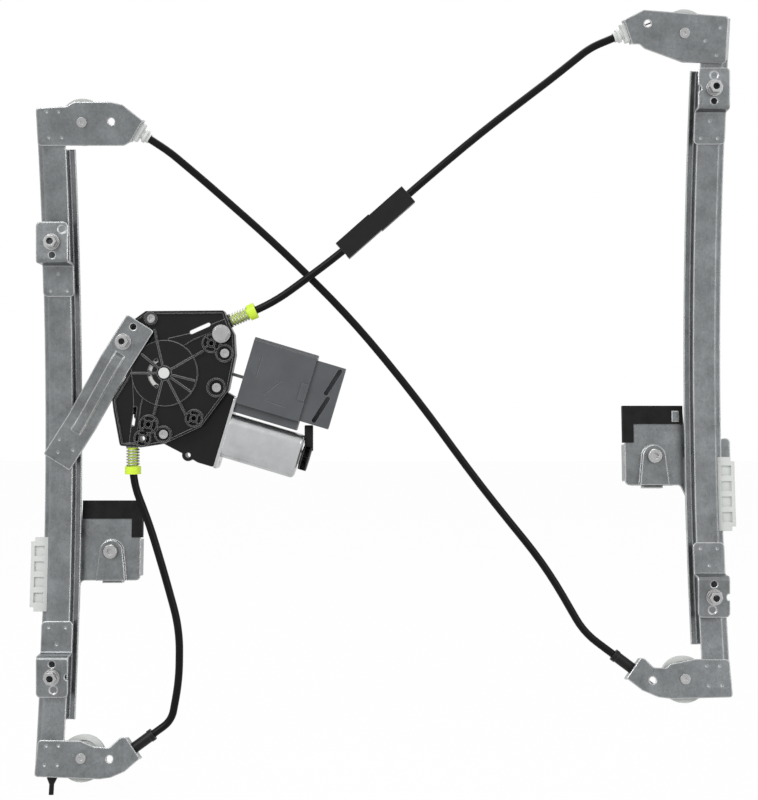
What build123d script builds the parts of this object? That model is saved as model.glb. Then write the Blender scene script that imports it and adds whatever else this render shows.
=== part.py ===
from build123d import *

import math
import os
from dataclasses import dataclass

# Electric window regulator of a front door: two curved guide rails, a cable loop and one geared motor.
# Millimetres. X runs along the door, Y points from the cabin outwards, Z points up.
# The origin is the seat of the lower left fixing nut, on the plane that meets the door's inner panel.
# A hand of +1 is the left rail, whose open flange points to +X, and -1 is its mirror image on the right.

# Guide rails: roll-formed sheet, bowed about an axis that lies on the cabin side
rail_spacing = 583.0
arc_radius = 1300.0
arc_depth = 32.0
rail_sheet = 1.2
web_width = 22.0
wall_depth = 10.0
lip_width = 6.0
flange_width = 6.4
flange_return = 3.6
rail_bend = 1.6
left_arc_z, right_arc_z = 217.0, 289.0
left_ends_z, right_ends_z = (-86.0, 500.0), (-16.0, 580.0)
left_flange_z, right_flange_z = (-39.0, 466.0), (28.0, 536.0)

# Cable and pulleys
cable_diameter = 1.6
cable_depth = 6.2
drum_cable_depth = 21.1
cable_offset = 7.0
pulley_radius = 20.5
pulley_groove_radius = 18.5
cable_seat = 0.05
pulley_width = 6.0
pulley_web = 2.6
pulley_hub_radius = 6.0
groove_mouth = 3.6
pulley_rim = 3.0
pulley_pin_radius = 3.0
pin_head_radius = 4.4
pin_head_height = 1.4
pin_dimple_radius = 1.6
pin_collar_radius = 4.6
pin_tail_height = 1.2
running_gap = 0.05
side_gap = 0.3
size_match = 0.001

# End brackets: pressed sheet, one at each end of a rail
bracket_sheet = 2.0
bracket_seat = 0.3
bracket_corner = 3.0
flange_half_length = 11.0
flange_depth = 10.6
bracket_hole_radius = 3.0
dimple_radius = 2.2
dimple_depth = 0.7
side_lip_depth = 7.6

# Cable ends at the brackets
ferrule_radius = 6.0
ferrule_neck_radius = 4.4
ferrule_length = 12.0
ferrule_block = 17.0
sleeve_radius = 4.9
sleeve_length = 20.0
sleeve_lip = 0.6
sleeve_lip_length = 4.0
spigot_radius = 3.4
spigot_proud = 2.5
cable_bore_radius = 1.1

# Fixing plates and their nuts
plate_sheet = 2.0
plate_width = 28.0
plate_bend = 2.5
mount_leaf_length = 35.0
rail_leaf_length = 29.0
leaf_seat = 0.15
nut_to_step = 17.0
plate_corner = 4.0
leaf_spot_near, leaf_spot_far, leaf_spot_x = 8.5, 23.5, 7.5
locating_hole_drop = 11.3
nut_thread_radius = 3.0
nut_pilot_radius = 4.0
nut_flange_radius = 7.2
nut_flange_height = 1.6
nut_height = 8.0
nut_across_flats = 10.0
locating_hole_radius = 2.9
boss_mark_radius = 3.6
boss_mark_depth = 0.6

# Strap between the left rail and the drum housing, measured from the middle of its upper end
strap_angle = 57.7
strap_top_x, strap_top_z = 75.7, 312.9
strap_length, strap_width = 148.0, 28.0
strap_bend_near, strap_bend_far = 43.0, 104.0
strap_seat = 0.6
strap_corner = 2.0
strap_hole = (6.6, -3.5)
strap_nut_spot = (22.6, -3.8)
strap_spots = ((129.0, -9.0), (130.6, 6.5), (139.6, -3.8))
bead_near, bead_far = 33.0, 116.0
bead_rise, bead_width = 1.8, 9.0

# Peg at the left rail's lower end
peg_head_radius = 4.4
peg_grip = 6.0
peg_gap = 2.0
peg_cone = 5.0
peg_radius = 2.1
peg_length = 9.0

# Carriers and glass clamps
carrier_depth = 15.0
carrier_sheet = 2.0
clamp_near_x, clamp_width = 16.6, 53.6
clamp_height = 71.0
clamp_bolt_x, clamp_bolt_rise = 44.0, 26.2
glass_gap = 6.0
rubber_wall = 2.0
rubber_lip = 1.8
rubber_band = 15.0
far_leg_width, far_leg_height = 10.0, 32.0
tab_width, tab_height, tab_drop = 6.5, 10.0, 3.0
jaw_sheet = 2.5
jaw_near_x, jaw_far_x = 21.0, 66.0
jaw_top_drop = 4.0
jaw_lip_half, jaw_lip_depth = 9.0, 8.0
side_wall_height, side_wall_depth = 38.0, 16.0
slot_depth = 30.0
clamp_boss_rise = 5.0
clamp_boss_half, clamp_boss_radius = 13.4, 10.5
collar_radius = 8.0
clamp_bolt_radius = 3.0
bolt_head_radius, bolt_head_height = 6.6, 5.0
bolt_edge = 0.8
bolt_drive_radius, bolt_drive_depth = 3.2, 3.0
bolt_proud = 1.5
slider_length = 66.0
slider_reach = 27.5
slider_inner = 16.0
slider_back = 14.95
slider_gap = 0.2
guide_depth = 2.4
shoe_front_depth = 6.2
shoe_middle = -19.8
shoe_notch = 3.5
guide_gap = 0.35
pocket_size, pocket_pitch, pocket_depth = 9.0, 14.0, 2.0
nipple_radius, nipple_length = 2.0, 8.0
cable_way_radius = 1.3

# Drum housing, measured from the drum's axis; the drum sits between its dome and the gear housing
drum_x, drum_z = 96.5, 268.0
housing_front, housing_skin, housing_back = 14.0, 18.5, 27.0
housing_wall = 2.2
housing_corner = 2.5
rim_step, dome_step = 0.8, 1.0
housing_points = (
    (-16.7, 55.4), (53.3, 56.0), (57.4, 44.7), (62.5, 34.5), (63.6, 15.9), (57.4, -14.8), (32.7, -47.9),
    (-0.2, -63.2), (-20.8, -66.4), (-39.7, -64.8), (-45.4, -33.6), (-46.7, -23.3), (-30.5, 2.5), (-45.3, 12.0),
    (-42.6, 25.5), (-28.2, 47.0),
)
dome_radius = 29.4
hub_radius = 6.5
rib_width = 1.4
housing_ribs = ((-14, 28), (-35, 29), (-63, 44), (30, 40), (-104.6, 38), (103, 40), (140, 27), (180, 30))
plain_bosses = ((42.0, 26.6, 8.5), (26.4, -40.4, 8.0), (-14.2, -45.8, 8.5), (-19.4, -58.2, 7.8))
screwed_bosses = ((53.5, 17.8, 8.0), (46.2, -12.9, 8.5), (-1.3, -54.7, 7.6), (-12.5, 49.0, 5.6))
housing_bosses = plain_bosses + screwed_bosses
boss_wall, boss_turn, boss_recess = 1.4, 35.0, 6.0
boss_pilot_radius = 2.2
screw_radius, screw_head_radius, screw_head_height = 2.5, 4.1, 2.4
screw_drive_radius, screw_drive_depth = 1.8, 1.4
module_bolt_spot = (51.1, 35.0)
module_bolt_radius, module_bolt_head, module_bolt_flange = 3.5, 6.0, 8.0
module_bolt_height, module_bolt_flange_height = 6.0, 1.6
upper_exit, lower_exit = (59.0, 47.3), (-29.1, -66.4)
lower_exit_angle = -90.0
exit_socket = 4.0
chute_length, chute_width, chute_neck, neck_width, chute_thickness = 58.0, 13.0, 38.0, 6.4, 9.6
conduit_seat = 3.0
housing_slots = (((31.4, 40.0), 24.0, (20.0, 3.6)), ((-27.4, -38.5), 82.0, (18.0, 3.2)))
hub_slots = ((187.0, 57.0), (150.0, 22.0), (117.0, 16.0))
hub_slot_radius, hub_slot_width = 13.2, 3.4

# Cable drum on its pin
drum_radius = 23.0
drum_cable_radius = 21.0
drum_front, drum_width = 16.8, 8.6
drum_room = 0.9
drum_rim = 1.0
drum_groove_pitch = 2.2
drum_wrap_angle = 30.0
drum_windows, drum_window_ring, drum_window_radius, drum_window_depth = 6, 15.5, 3.2, 6.0
hub_dogs, hub_dog_radius, dog_radius = 3, 11.0, 2.4
hub_reach = 9.0
drum_pin_radius = 4.0
drum_pin_head_radius, drum_pin_head_height = 4.9, 1.8

# Worm drive behind the drum; the motor lies askew and its worm passes under the wheel
gear_back = 40.4
gear_wall = 2.0
gear_cup_radius = 37.0
gear_corner = 3.0
gear_rim = 1.2
gear_lug_spot, gear_lug_radius = (39.6, -27.0), 5.5
ear_radius, ear_depth = 6.5, 6.0
cover_sheet = 1.6
cover_hole_radius = 15.0
wheel_teeth = 73
wheel_tip_radius = 34.0
wheel_tooth_depth = 1.8
wheel_width = 7.0
wheel_front = 29.8
wheel_room = 0.9
wheel_recess = 5.0
damper_radius, lobe_radius = 20.0, 4.0
worm_axis_drop = 38.1
worm_crest_radius, worm_root_radius = 3.7, 2.8
worm_thread_pitch, worm_thread_length = 2.93, 17.5
thread_sink, thread_foot_half, thread_crest_half = 0.2, 0.85, 0.35
worm_bore_radius, worm_bore_start = 4.4, -12.0
shaft_radius = 2.0
shaft_start, shaft_end = -14.0, 136.6
motor_tilt = 16.6
can_width, can_thickness, can_corner = 40.0, 30.0, 9.0
can_edge = 3.0
can_start, can_end = 68.0, 136.0
can_wall = 1.6
can_nose_radius, can_nose_length = 7.0, 2.4
core_start, core_end, core_radius = 82.0, 116.0, 11.6
core_slots, core_slot_width, core_slot_depth = 8, 1.6, 5.0
commutator_start, commutator_end, commutator_radius = 71.0, 78.0, 6.5
magnet_inner, magnet_outer, magnet_half_angle = 12.2, 18.35, 43.0
flange_sheet = 2.6
flange_low, flange_high = -31.0, 35.5
flange_screw_inset = 5.5
gear_end = can_start - flange_sheet
gear_points = (
    (-17.0, -8.5), (8.0, -22.0), (34.0, -27.0), (50.0, flange_low), (gear_end, flange_low), (gear_end, flange_high),
    (30.0, 44.0), (-24.0, 30.0),
)

# Electronic module on the motor
ecu_start, ecu_end = 68.4, 127.0
ecu_low, ecu_high = 31.0, 92.4
ecu_front, ecu_back = 15.0, 37.0
ecu_wall = 1.8
ecu_step_low, ecu_step_depth = 22.4, 6.0
ecu_bevel = 3.0
board_sheet, board_gap = 1.6, 0.5
board_parts = ((-12.0, 12.0, 14.0, 14.0, 2.0), (14.0, 16.0, 12.0, 16.0, 9.0), (8.0, -14.0, 18.0, 12.0, 5.0))
ecu_cover_sheet = 1.8
shroud_end = 154.0
shroud_low, shroud_high = 31.5, 88.0
shroud_step = 2.5
shroud_slots = ((146.5, 73.0), (143.0, 46.5))
shroud_slot_size, shroud_slot_turn, shroud_slot_depth = (27.0, 4.0), 74.0, 5.0
arm_m, arm_width, arm_start = 54.5, 2.8, 58.2
arm_front, arm_thickness = 20.0, 4.0
groove_lines = ((79.0, 78.0, 79.0, 58.0), (102.0, 62.0, 90.0, 45.0), (93.0, 41.0, 112.0, 40.0))
groove_width, groove_depth = 1.4, 0.5
latch_size, latch_height = (6.0, 15.0), 1.4
latch_spot = (123.5, 57.0)

# Conduits with their springs and caps at the drum
conduit_radius = 3.4
spring_wire = 1.5
spring_radius = 6.2
spring_turns = 6
spring_length = 17.0
cap_length = 7.0
cap_radius = 7.2
cap_play = 1.0
cable_end_gap = 1.0
arc_share = 0.45
upper_first_run, upper_last_run = 43.6, 22.0
lower_first_run, lower_last_run = 34.0, 19.5
cross_first_run, cross_last_run = 20.4, 31.5
upper_route = ((255.2, 10.5, 374.9), (314.5, 10.0, 427.3), (377.8, 10.6, 481.1), (443.5, 11.2, 531.2))
lower_route = ((82.8, 20.0, 131.4), (96.7, 18.2, 86.4), (110.0, 16.2, 39.2), (109.8, 14.4, -5.6))
cross_route = (
    (131.8, 19.5, 439.8), (196.7, 28.5, 383.1), (263.1, 28.8, 317.4), (322.0, 24.0, 245.5), (378.0, 19.5, 168.2),
    (437.2, 16.5, 95.1),
)

# Clip on the upper conduit: two halves a little out of line
clip_length, clip_width, clip_thickness = 77.0, 18.0, 9.0
clip_front = 3.2
clip_shift = 0.45
clip_play = 1.2

# Sizes that follow from the ones above
arc_axis_y = arc_depth - arc_radius
wrap_radius = pulley_groove_radius + cable_diameter / 2
pulley_offset = cable_offset + wrap_radius
half_web = web_width / 2


@dataclass(frozen=True)
class Rail:
    """One guide rail with its place, its hand and the height of the deepest point of its bow."""

    name: str
    hand: int
    x: float
    arc_z: float
    ends_z: tuple
    flange_z: tuple


left = Rail("left", 1, 0.0, left_arc_z, left_ends_z, left_flange_z)
right = Rail("right", -1, rail_spacing, right_arc_z, right_ends_z, right_flange_z)


def bow_angle(rail, z):
    """Angle of the point at height z along the rail's bow, in degrees from its deepest point."""
    return math.degrees(math.asin((z - rail.arc_z) / arc_radius))


def bow_axis(rail):
    """Axis that the rail is bowed about, and that its carrier swings about."""
    return Axis((0, arc_axis_y, rail.arc_z), (1, 0, 0))


def section_plane(rail, z):
    """Plane across the rail at height z: local x away from the rail's lip, local y the depth behind the web."""
    angle = math.radians(bow_angle(rail, z))
    outward = Vector(0, math.cos(angle), math.sin(angle))
    across = Vector(rail.hand, 0, 0)
    origin = Vector(rail.x, arc_axis_y, rail.arc_z) + outward * arc_radius
    return Plane(origin=origin, x_dir=across, z_dir=across.cross(outward))


def web_plane(rail, z, shift=0.0):
    """Plane on the web's front at height z: local x along +X, y up along the rail, z towards the cabin."""
    angle = math.radians(bow_angle(rail, z))
    outward = Vector(0, math.cos(angle), math.sin(angle))
    origin = Vector(rail.x + rail.hand * shift, arc_axis_y, rail.arc_z) + outward * arc_radius
    return Plane(origin=origin, x_dir=(1, 0, 0), z_dir=outward * -1)


def swept_angle(rail, low_z, high_z):
    """Angle in degrees that the rail's bow turns through between two heights."""
    return bow_angle(rail, high_z) - bow_angle(rail, low_z)


def handed(rail, points):
    """Points of an outline with their x on the rail's own side."""
    return [(rail.hand * x, y) for x, y in points]


def finish(piece, name):
    """Name a finished piece and write it as its own file."""
    piece.part.label = name
    export_step(piece.part, f"parts/{name}.step")


os.makedirs("parts", exist_ok=True)


# Guide rails: web, two walls, a plain lip outside and a returned flange inside
def rail_profile(flanged):
    """Middle line of the rail's sheet across its section."""
    middle = rail_sheet / 2
    wall_x = half_web - middle
    floor = wall_depth - middle
    points = [
        (-wall_x - lip_width, floor),
        (-wall_x, floor),
        (-wall_x, middle),
        (wall_x, middle),
    ]
    if flanged:
        points += [
            (wall_x, floor),
            (wall_x + flange_width, floor),
            (wall_x + flange_width, floor - flange_return),
        ]
    return points


for rail in (left, right):
    with BuildPart() as guide_rail:
        for flanged, span in ((False, rail.ends_z), (True, rail.flange_z)):
            with BuildSketch(section_plane(rail, span[0])):
                with BuildLine():
                    FilletPolyline(*rail_profile(flanged), radius=rail_bend)
                trace(line_width=rail_sheet)
            revolve(axis=bow_axis(rail), revolution_arc=swept_angle(rail, *span))
    finish(guide_rail, f"{rail.name}_rail")


# End brackets, each with its pulley, pin and cable exit
@dataclass(frozen=True)
class EndBracket:
    """A pressed bracket; its outline runs from one end of the exit flange round to the other.

    Points are measured from the pulley pin, x away from the rail's lip and y up.
    """

    name: str
    rail: Rail
    pin_z: float
    way: int
    exit_angle: float
    exit_reach: float
    outline: tuple
    hole: tuple
    dimples: tuple


brackets = (
    EndBracket(
        "upper_left_bracket", left, 489.0, 1, 33.0, 44.3,
        ((36.2, 15.2), (25.3, 17.7), (-5.9, 17.7), (-12.7, 13.9), (-40.0, 12.4), (-40.0, -20.2), (36.0, -20.2)),
        (25.9, 0.8),
        ((-30.7, 9.3), (-20.2, 9.3), (-29.9, -13.0), (-18.6, -13.0)),
    ),
    EndBracket(
        "lower_left_bracket", left, -71.3, -1, 36.0, 41.8,
        (
            (38.5, -11.2), (26.7, -16.2), (17.4, -17.5), (-12.0, -16.4), (-40.2, -15.4),
            (-38.6, 15.8), (-1.9, 15.3), (9.9, 10.3), (24.2, 9.1), (34.2, 18.3),
        ),
        (25.0, -0.3),
        ((-31.2, 11.0), (-20.4, 11.0), (-31.9, -5.4), (-20.6, -5.4)),
    ),
    EndBracket(
        "upper_right_bracket", right, 567.3, 1, 22.0, 45.6,
        (
            (36.5, 19.6), (-38.1, 14.1), (-38.1, -26.0), (0.4, -25.2),
            (34.2, -13.4), (38.9, -9.5), (44.4, -9.5),
        ),
        (32.6, 8.2),
        ((-31.7, 4.6), (-18.8, -6.6), (-29.5, -18.8)),
    ),
    EndBracket(
        "lower_right_bracket", right, -1.5, -1, 37.0, 41.5,
        (
            (37.8, -9.7), (23.9, -15.5), (12.3, -16.9), (-41.0, -15.5), (-40.0, 17.0),
            (-9.6, 17.3), (12.3, 13.0), (15.9, 9.7), (26.8, 10.0), (34.6, 17.6),
        ),
        (28.4, -0.9),
        ((-19.8, 11.5), (-31.2, 11.5), (-20.6, -5.6), (-32.2, -5.3)),
    ),
)


def pin_plane(bracket):
    """Plane on the web's front through the pulley pin's axis."""
    return web_plane(bracket.rail, bracket.pin_z, pulley_offset)


def exit_line(bracket):
    """Middle of the exit flange and the cable's direction there, in the plane of the pin."""
    angle = math.radians(bracket.exit_angle)
    start = Vector(math.sin(angle), bracket.way * math.cos(angle)) * wrap_radius
    way_out = Vector(math.cos(angle), -bracket.way * math.sin(angle))
    return start + way_out * bracket.exit_reach, way_out


def exit_plane(bracket, reach=0.0):
    """Plane across the cable at the exit flange's outer face, or further out by reach."""
    centre, way_out = exit_line(bracket)
    place = pin_plane(bracket)
    hand = bracket.rail.hand
    point = centre + way_out * reach
    origin = place.from_local_coords(Vector(hand * point.X, point.Y, -cable_depth))
    tip = place.from_local_coords(Vector(hand * (point.X + way_out.X), point.Y + way_out.Y, -cable_depth))
    return Plane(origin=origin, x_dir=place.z_dir, z_dir=tip - origin)


for bracket in brackets:
    centre, way_out = exit_line(bracket)
    along = Vector(-way_out.Y, way_out.X) * bracket.way
    flange_ends = [centre + along * flange_half_length, centre - along * flange_half_length]
    corners = [(end.X, end.Y) for end in flange_ends]
    hand = bracket.rail.hand
    outline = handed(bracket.rail, [corners[0], *bracket.outline, corners[1]])
    front = pin_plane(bracket).offset(bracket_seat)
    back_of_exit = exit_plane(bracket)
    with BuildPart() as end_bracket:
        with BuildSketch(front):
            with BuildLine():
                corner_radii = [0, *[bracket_corner] * len(bracket.outline), 0]
                FilletPolyline(*outline, radius=corner_radii, close=True)
            make_face()
        extrude(amount=bracket_sheet)
        # the flange that holds the end of the conduit stands back from the sheet
        with BuildSketch(back_of_exit):
            with Locations((cable_depth + (bracket_seat + bracket_sheet - flange_depth) / 2, 0)):
                Rectangle(bracket_seat + bracket_sheet + flange_depth, 2 * flange_half_length)
        extrude(amount=-bracket_sheet)
        with Locations(back_of_exit.offset(-bracket_sheet / 2)):
            Cylinder(spigot_radius + running_gap, 2 * bracket_sheet, mode=Mode.SUBTRACT)
        # the side lip wraps the rail's outer wall
        lip_low = min(y for x, y in bracket.outline if x < -30)
        lip_high = max(y for x, y in bracket.outline if x < -30)
        lip_x = -pulley_offset - half_web - side_gap - bracket_sheet / 2
        with BuildSketch(front):
            with Locations((hand * lip_x, (lip_low + lip_high) / 2)):
                Rectangle(bracket_sheet, lip_high - lip_low - 2 * bracket_corner)
        extrude(amount=-side_lip_depth)
        with Locations(front.offset(bracket_sheet)):
            with Locations((0, 0)):
                Hole(pulley_pin_radius + running_gap, depth=bracket_sheet)
            with Locations(*handed(bracket.rail, [bracket.hole])):
                Hole(bracket_hole_radius, depth=bracket_sheet)
            with Locations(*[(x, y, dimple_radius) for x, y in handed(bracket.rail, bracket.dimples)]):
                Sphere(dimple_radius + dimple_depth / 2, mode=Mode.SUBTRACT)
    finish(end_bracket, bracket.name)



# Pulleys on the brackets, moulded with a hub, a thin web and a grooved rim
def revolve_plane(place, depth):
    """Plane through a pin's axis for a turned profile: local x is the radius, local y runs to the cabin."""
    origin = place.from_local_coords(Vector(0, 0, depth))
    return Plane(origin=origin, x_dir=place.x_dir, z_dir=place.x_dir.cross(place.z_dir))


for bracket in brackets:
    place = pin_plane(bracket)
    half = pulley_width / 2
    side = [
        (pulley_pin_radius + running_gap, half),
        (pulley_hub_radius, half),
        (pulley_hub_radius, pulley_web / 2),
        (pulley_groove_radius - pulley_rim, pulley_web / 2),
        (pulley_groove_radius - pulley_rim, half),
        (pulley_radius, half),
        (pulley_radius, groove_mouth / 2),
        (pulley_groove_radius - cable_seat, cable_diameter / 2),
    ]
    with BuildPart() as pulley:
        with BuildSketch(revolve_plane(place, -cable_depth)):
            with BuildLine():
                Polyline(*side, *[(x, -y) for x, y in reversed(side)], close=True)
            make_face()
        revolve(axis=Axis(place.origin, place.z_dir))
    finish(pulley, bracket.name.replace("bracket", "pulley"))

with BuildPart() as pulley_pins:
    for bracket in brackets:
        place = pin_plane(bracket)
        head = bracket_seat + bracket_sheet
        near = -cable_depth + pulley_width / 2 + side_gap
        far = -cable_depth - pulley_width / 2 - side_gap
        with BuildSketch(place.offset(head)):
            Circle(pin_head_radius)
            Circle(pin_dimple_radius, mode=Mode.SUBTRACT)
        extrude(amount=pin_head_height)
        with BuildSketch(place.offset(head)):
            Circle(pulley_pin_radius)
        extrude(amount=far - head)
        with BuildSketch(place.offset(bracket_seat)):
            Circle(pin_collar_radius)
        extrude(amount=near - bracket_seat)
        with BuildSketch(place.offset(far)):
            Circle(pin_collar_radius)
        extrude(amount=-pin_tail_height)
finish(pulley_pins, "pulley_pins")


# Cable ends: moulded ferrules at the upper brackets, sleeves at the lower ones
with BuildPart() as cable_ferrules:
    for bracket in brackets:
        if bracket.way < 0:
            continue
        out = exit_plane(bracket)
        with BuildSketch(out.offset(-bracket_sheet - spigot_proud)):
            Circle(spigot_radius)
        extrude(amount=bracket_sheet + spigot_proud)
        with BuildSketch(out):
            RectangleRounded(2 * (cable_depth - side_gap), ferrule_block, spigot_radius / 2)
        extrude(amount=ferrule_length * 0.3)
        with BuildSketch(out.offset(ferrule_length * 0.3)):
            Circle(ferrule_neck_radius)
        extrude(amount=ferrule_length * 0.7)
        with BuildSketch(out.offset(ferrule_length * 0.55)):
            Circle(ferrule_radius)
        extrude(amount=ferrule_length * 0.2)
        with Locations(out):
            Cylinder(cable_bore_radius, 4 * ferrule_length, mode=Mode.SUBTRACT)
finish(cable_ferrules, "cable_ferrules")

with BuildPart() as cable_sleeves:
    for bracket in brackets:
        if bracket.way > 0:
            continue
        out = exit_plane(bracket)
        with BuildSketch(out.offset(-bracket_sheet - spigot_proud)):
            Circle(spigot_radius)
        extrude(amount=bracket_sheet + spigot_proud)
        with BuildSketch(out):
            Circle(sleeve_radius)
        extrude(amount=sleeve_length)
        with BuildSketch(out.offset(sleeve_length - sleeve_lip_length)):
            Circle(sleeve_radius + sleeve_lip)
        extrude(amount=sleeve_lip_length)
        with Locations(out):
            Cylinder(cable_bore_radius, 4 * sleeve_length, mode=Mode.SUBTRACT)
finish(cable_sleeves, "cable_sleeves")


# Fixing plates: one leaf clinched to the rail, a step, and one leaf on the mounting plane
@dataclass(frozen=True)
class FixingPlate:
    """A stepped plate; way is +1 where the mounting leaf is above the step."""

    name: str
    rail: Rail
    nut_z: float
    way: int
    notch_side: int
    mark_x: float


fixing_plates = (
    FixingPlate("upper_left_fixing_plate", left, 383.0, 1, 0, 8.8),
    FixingPlate("lower_left_fixing_plate", left, 0.0, -1, 1, 1.3),
    FixingPlate("upper_right_fixing_plate", right, 518.5, 1, -1, 0.0),
    FixingPlate("lower_right_fixing_plate", right, 70.5, -1, 1, -1.4),
)


def leaf_plane(plate):
    """Plane on the back of the rail leaf, at the leaf's middle."""
    step_z = plate.nut_z - plate.way * nut_to_step
    return web_plane(plate.rail, step_z - plate.way * rail_leaf_length / 2).offset(leaf_seat)


def mount_plane(plate, depth=0.0):
    """Upright plane through the nut's axis, its z towards the cabin."""
    return Plane(origin=(plate.rail.x, depth, plate.nut_z), x_dir=(1, 0, 0), z_dir=(0, -1, 0))


for plate in fixing_plates:
    leaf = leaf_plane(plate)
    half_leaf = plate.way * rail_leaf_length / 2
    ends = [leaf.from_local_coords(Vector(0, y, plate_sheet / 2)) for y in (-half_leaf, half_leaf)]
    path = [(point.Y, point.Z) for point in ends]
    step_z = plate.nut_z - plate.way * nut_to_step
    path += [(plate_sheet / 2, step_z), (plate_sheet / 2, step_z + plate.way * mount_leaf_length)]
    with BuildPart() as fixing_plate:
        with BuildSketch(Plane.YZ.offset(plate.rail.x - plate_width / 2)):
            with BuildLine():
                FilletPolyline(*path, radius=plate_bend)
            trace(line_width=plate_sheet)
        extrude(amount=plate_width)
        fillet([e for e in edges() if abs(e.length - plate_sheet) < size_match], plate_corner)
        with Locations(mount_plane(plate)):
            Hole(nut_pilot_radius + running_gap, depth=plate_sheet)
            with Locations((0, -plate.way * locating_hole_drop)):
                Hole(locating_hole_radius, depth=plate_sheet)
            with Locations((plate.mark_x, plate.way * locating_hole_drop)):
                Hole(boss_mark_radius, depth=boss_mark_depth)
            if plate.notch_side:
                with Locations((plate.notch_side * plate_width / 2, 0)):
                    Hole(locating_hole_radius, depth=plate_sheet)
        row = plate.way * rail_leaf_length / 2
        spots = [(0, row - plate.way * leaf_spot_near)]
        spots += [(x, row - plate.way * leaf_spot_far) for x in (-leaf_spot_x, leaf_spot_x)]
        with Locations(leaf.offset(plate_sheet)):
            with Locations(*[(x, y, dimple_radius) for x, y in spots]):
                Sphere(dimple_radius + dimple_depth / 2, mode=Mode.SUBTRACT)
    finish(fixing_plate, plate.name)


# Motor strap: from the left rail's web forward to the drum housing
strap_run = math.radians(strap_angle)
strap_top = Plane(
    origin=(strap_top_x, housing_front, strap_top_z),
    x_dir=(-math.cos(strap_run), 0, -math.sin(strap_run)),
    z_dir=(0, -1, 0),
)
strap_foot = -(arc_depth - strap_seat - housing_front)
strap_path = [
    (0, plate_sheet / 2),
    (strap_bend_near, plate_sheet / 2),
    (strap_bend_far, strap_foot + plate_sheet / 2),
    (strap_length, strap_foot + plate_sheet / 2),
]
bead_path = [
    (bead_near, plate_sheet / 2),
    (bead_near + bead_rise * 2, plate_sheet / 2 + bead_rise),
    (strap_bend_near + bead_rise, plate_sheet / 2 + bead_rise),
    (strap_bend_far + bead_rise, strap_foot + plate_sheet / 2 + bead_rise),
    (bead_far - bead_rise * 2, strap_foot + plate_sheet / 2 + bead_rise),
    (bead_far, strap_foot + plate_sheet / 2),
]
strap_side = Plane(origin=strap_top.origin, x_dir=strap_top.x_dir, z_dir=strap_top.x_dir.cross(strap_top.z_dir))
with BuildPart() as motor_strap:
    for path, width in ((strap_path, strap_width), (bead_path, bead_width)):
        with BuildSketch(strap_side.offset(-width / 2)):
            with BuildLine():
                FilletPolyline(*path, radius=plate_bend)
            trace(line_width=plate_sheet)
        extrude(amount=width)
    fillet([e for e in edges() if abs(e.length - plate_sheet) < size_match], strap_corner)
    with Locations(strap_top.offset(plate_sheet)):
        with Locations(strap_hole):
            Hole(locating_hole_radius, depth=plate_sheet)
        with Locations(strap_nut_spot):
            Hole(nut_pilot_radius + running_gap, depth=plate_sheet)
    with Locations(strap_top.offset(strap_foot + plate_sheet)):
        with Locations(*[(x, y, dimple_radius) for x, y in strap_spots]):
            Sphere(dimple_radius + dimple_depth / 2, mode=Mode.SUBTRACT)
finish(motor_strap, "motor_strap")

# Flange nuts: four on the fixing plates and one that holds the strap to the drum housing
strap_nut_plane = Plane(
    origin=strap_top.from_local_coords(Vector(*strap_nut_spot, plate_sheet)),
    x_dir=strap_top.x_dir,
    z_dir=strap_top.z_dir,
)
with BuildPart() as flange_nuts:
    for seat in [mount_plane(plate) for plate in fixing_plates] + [strap_nut_plane]:
        with BuildSketch(seat.offset(-plate_sheet)):
            Circle(nut_pilot_radius)
        extrude(amount=plate_sheet)
        with BuildSketch(seat):
            Circle(nut_flange_radius)
        extrude(amount=nut_flange_height)
        with BuildSketch(seat):
            RegularPolygon(nut_across_flats / 2, 6, major_radius=False)
        extrude(amount=nut_height)
        with Locations(seat):
            Cylinder(nut_thread_radius, 4 * nut_height, mode=Mode.SUBTRACT)
finish(flange_nuts, "flange_nuts")


# Peg under the left rail's lower end
peg_plane = web_plane(left, left.ends_z[0]).offset(-rail_sheet)
with BuildPart() as rail_end_peg:
    peg_axis = Plane(origin=peg_plane.from_local_coords(Vector(0, 0, -peg_head_radius)), z_dir=peg_plane.y_dir)
    for start, length, low_radius, top_radius in (
        (peg_grip, peg_grip + peg_gap, peg_head_radius, peg_head_radius),
        (-peg_gap, peg_cone, peg_radius, peg_head_radius),
        (-peg_gap - peg_cone, peg_length, peg_radius, peg_radius),
    ):
        with BuildSketch(peg_axis.offset(start)):
            Circle(top_radius)
        with BuildSketch(peg_axis.offset(start - length)):
            Circle(low_radius)
        loft()
finish(rail_end_peg, "rail_end_peg")


# Drum housing: ribbed moulding with a dome over the drum, screw bosses and two cable exits
def drum_plane(depth):
    """Plane across the drum's axis at a depth from the mounting plane, its z towards the cabin."""
    return Plane(origin=(drum_x, depth, drum_z), x_dir=(1, 0, 0), z_dir=(0, -1, 0))


def line_out(point, angle, depth):
    """Plane across a cable that leaves through a point, at an angle from +X, seen from the cabin."""
    turn = math.radians(angle)
    place = drum_plane(depth)
    way_out = place.x_dir * math.cos(turn) + place.y_dir * math.sin(turn)
    return Plane(origin=place.from_local_coords(Vector(*point, 0)), x_dir=place.z_dir, z_dir=way_out)


def tangent_angle(point, side):
    """Angle from +X of the cable that leaves the drum and passes through a point; side is +1 over the top."""
    reach = math.hypot(*point)
    return math.degrees(math.atan2(point[1], point[0]) - side * math.asin(drum_cable_radius / reach))


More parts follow.
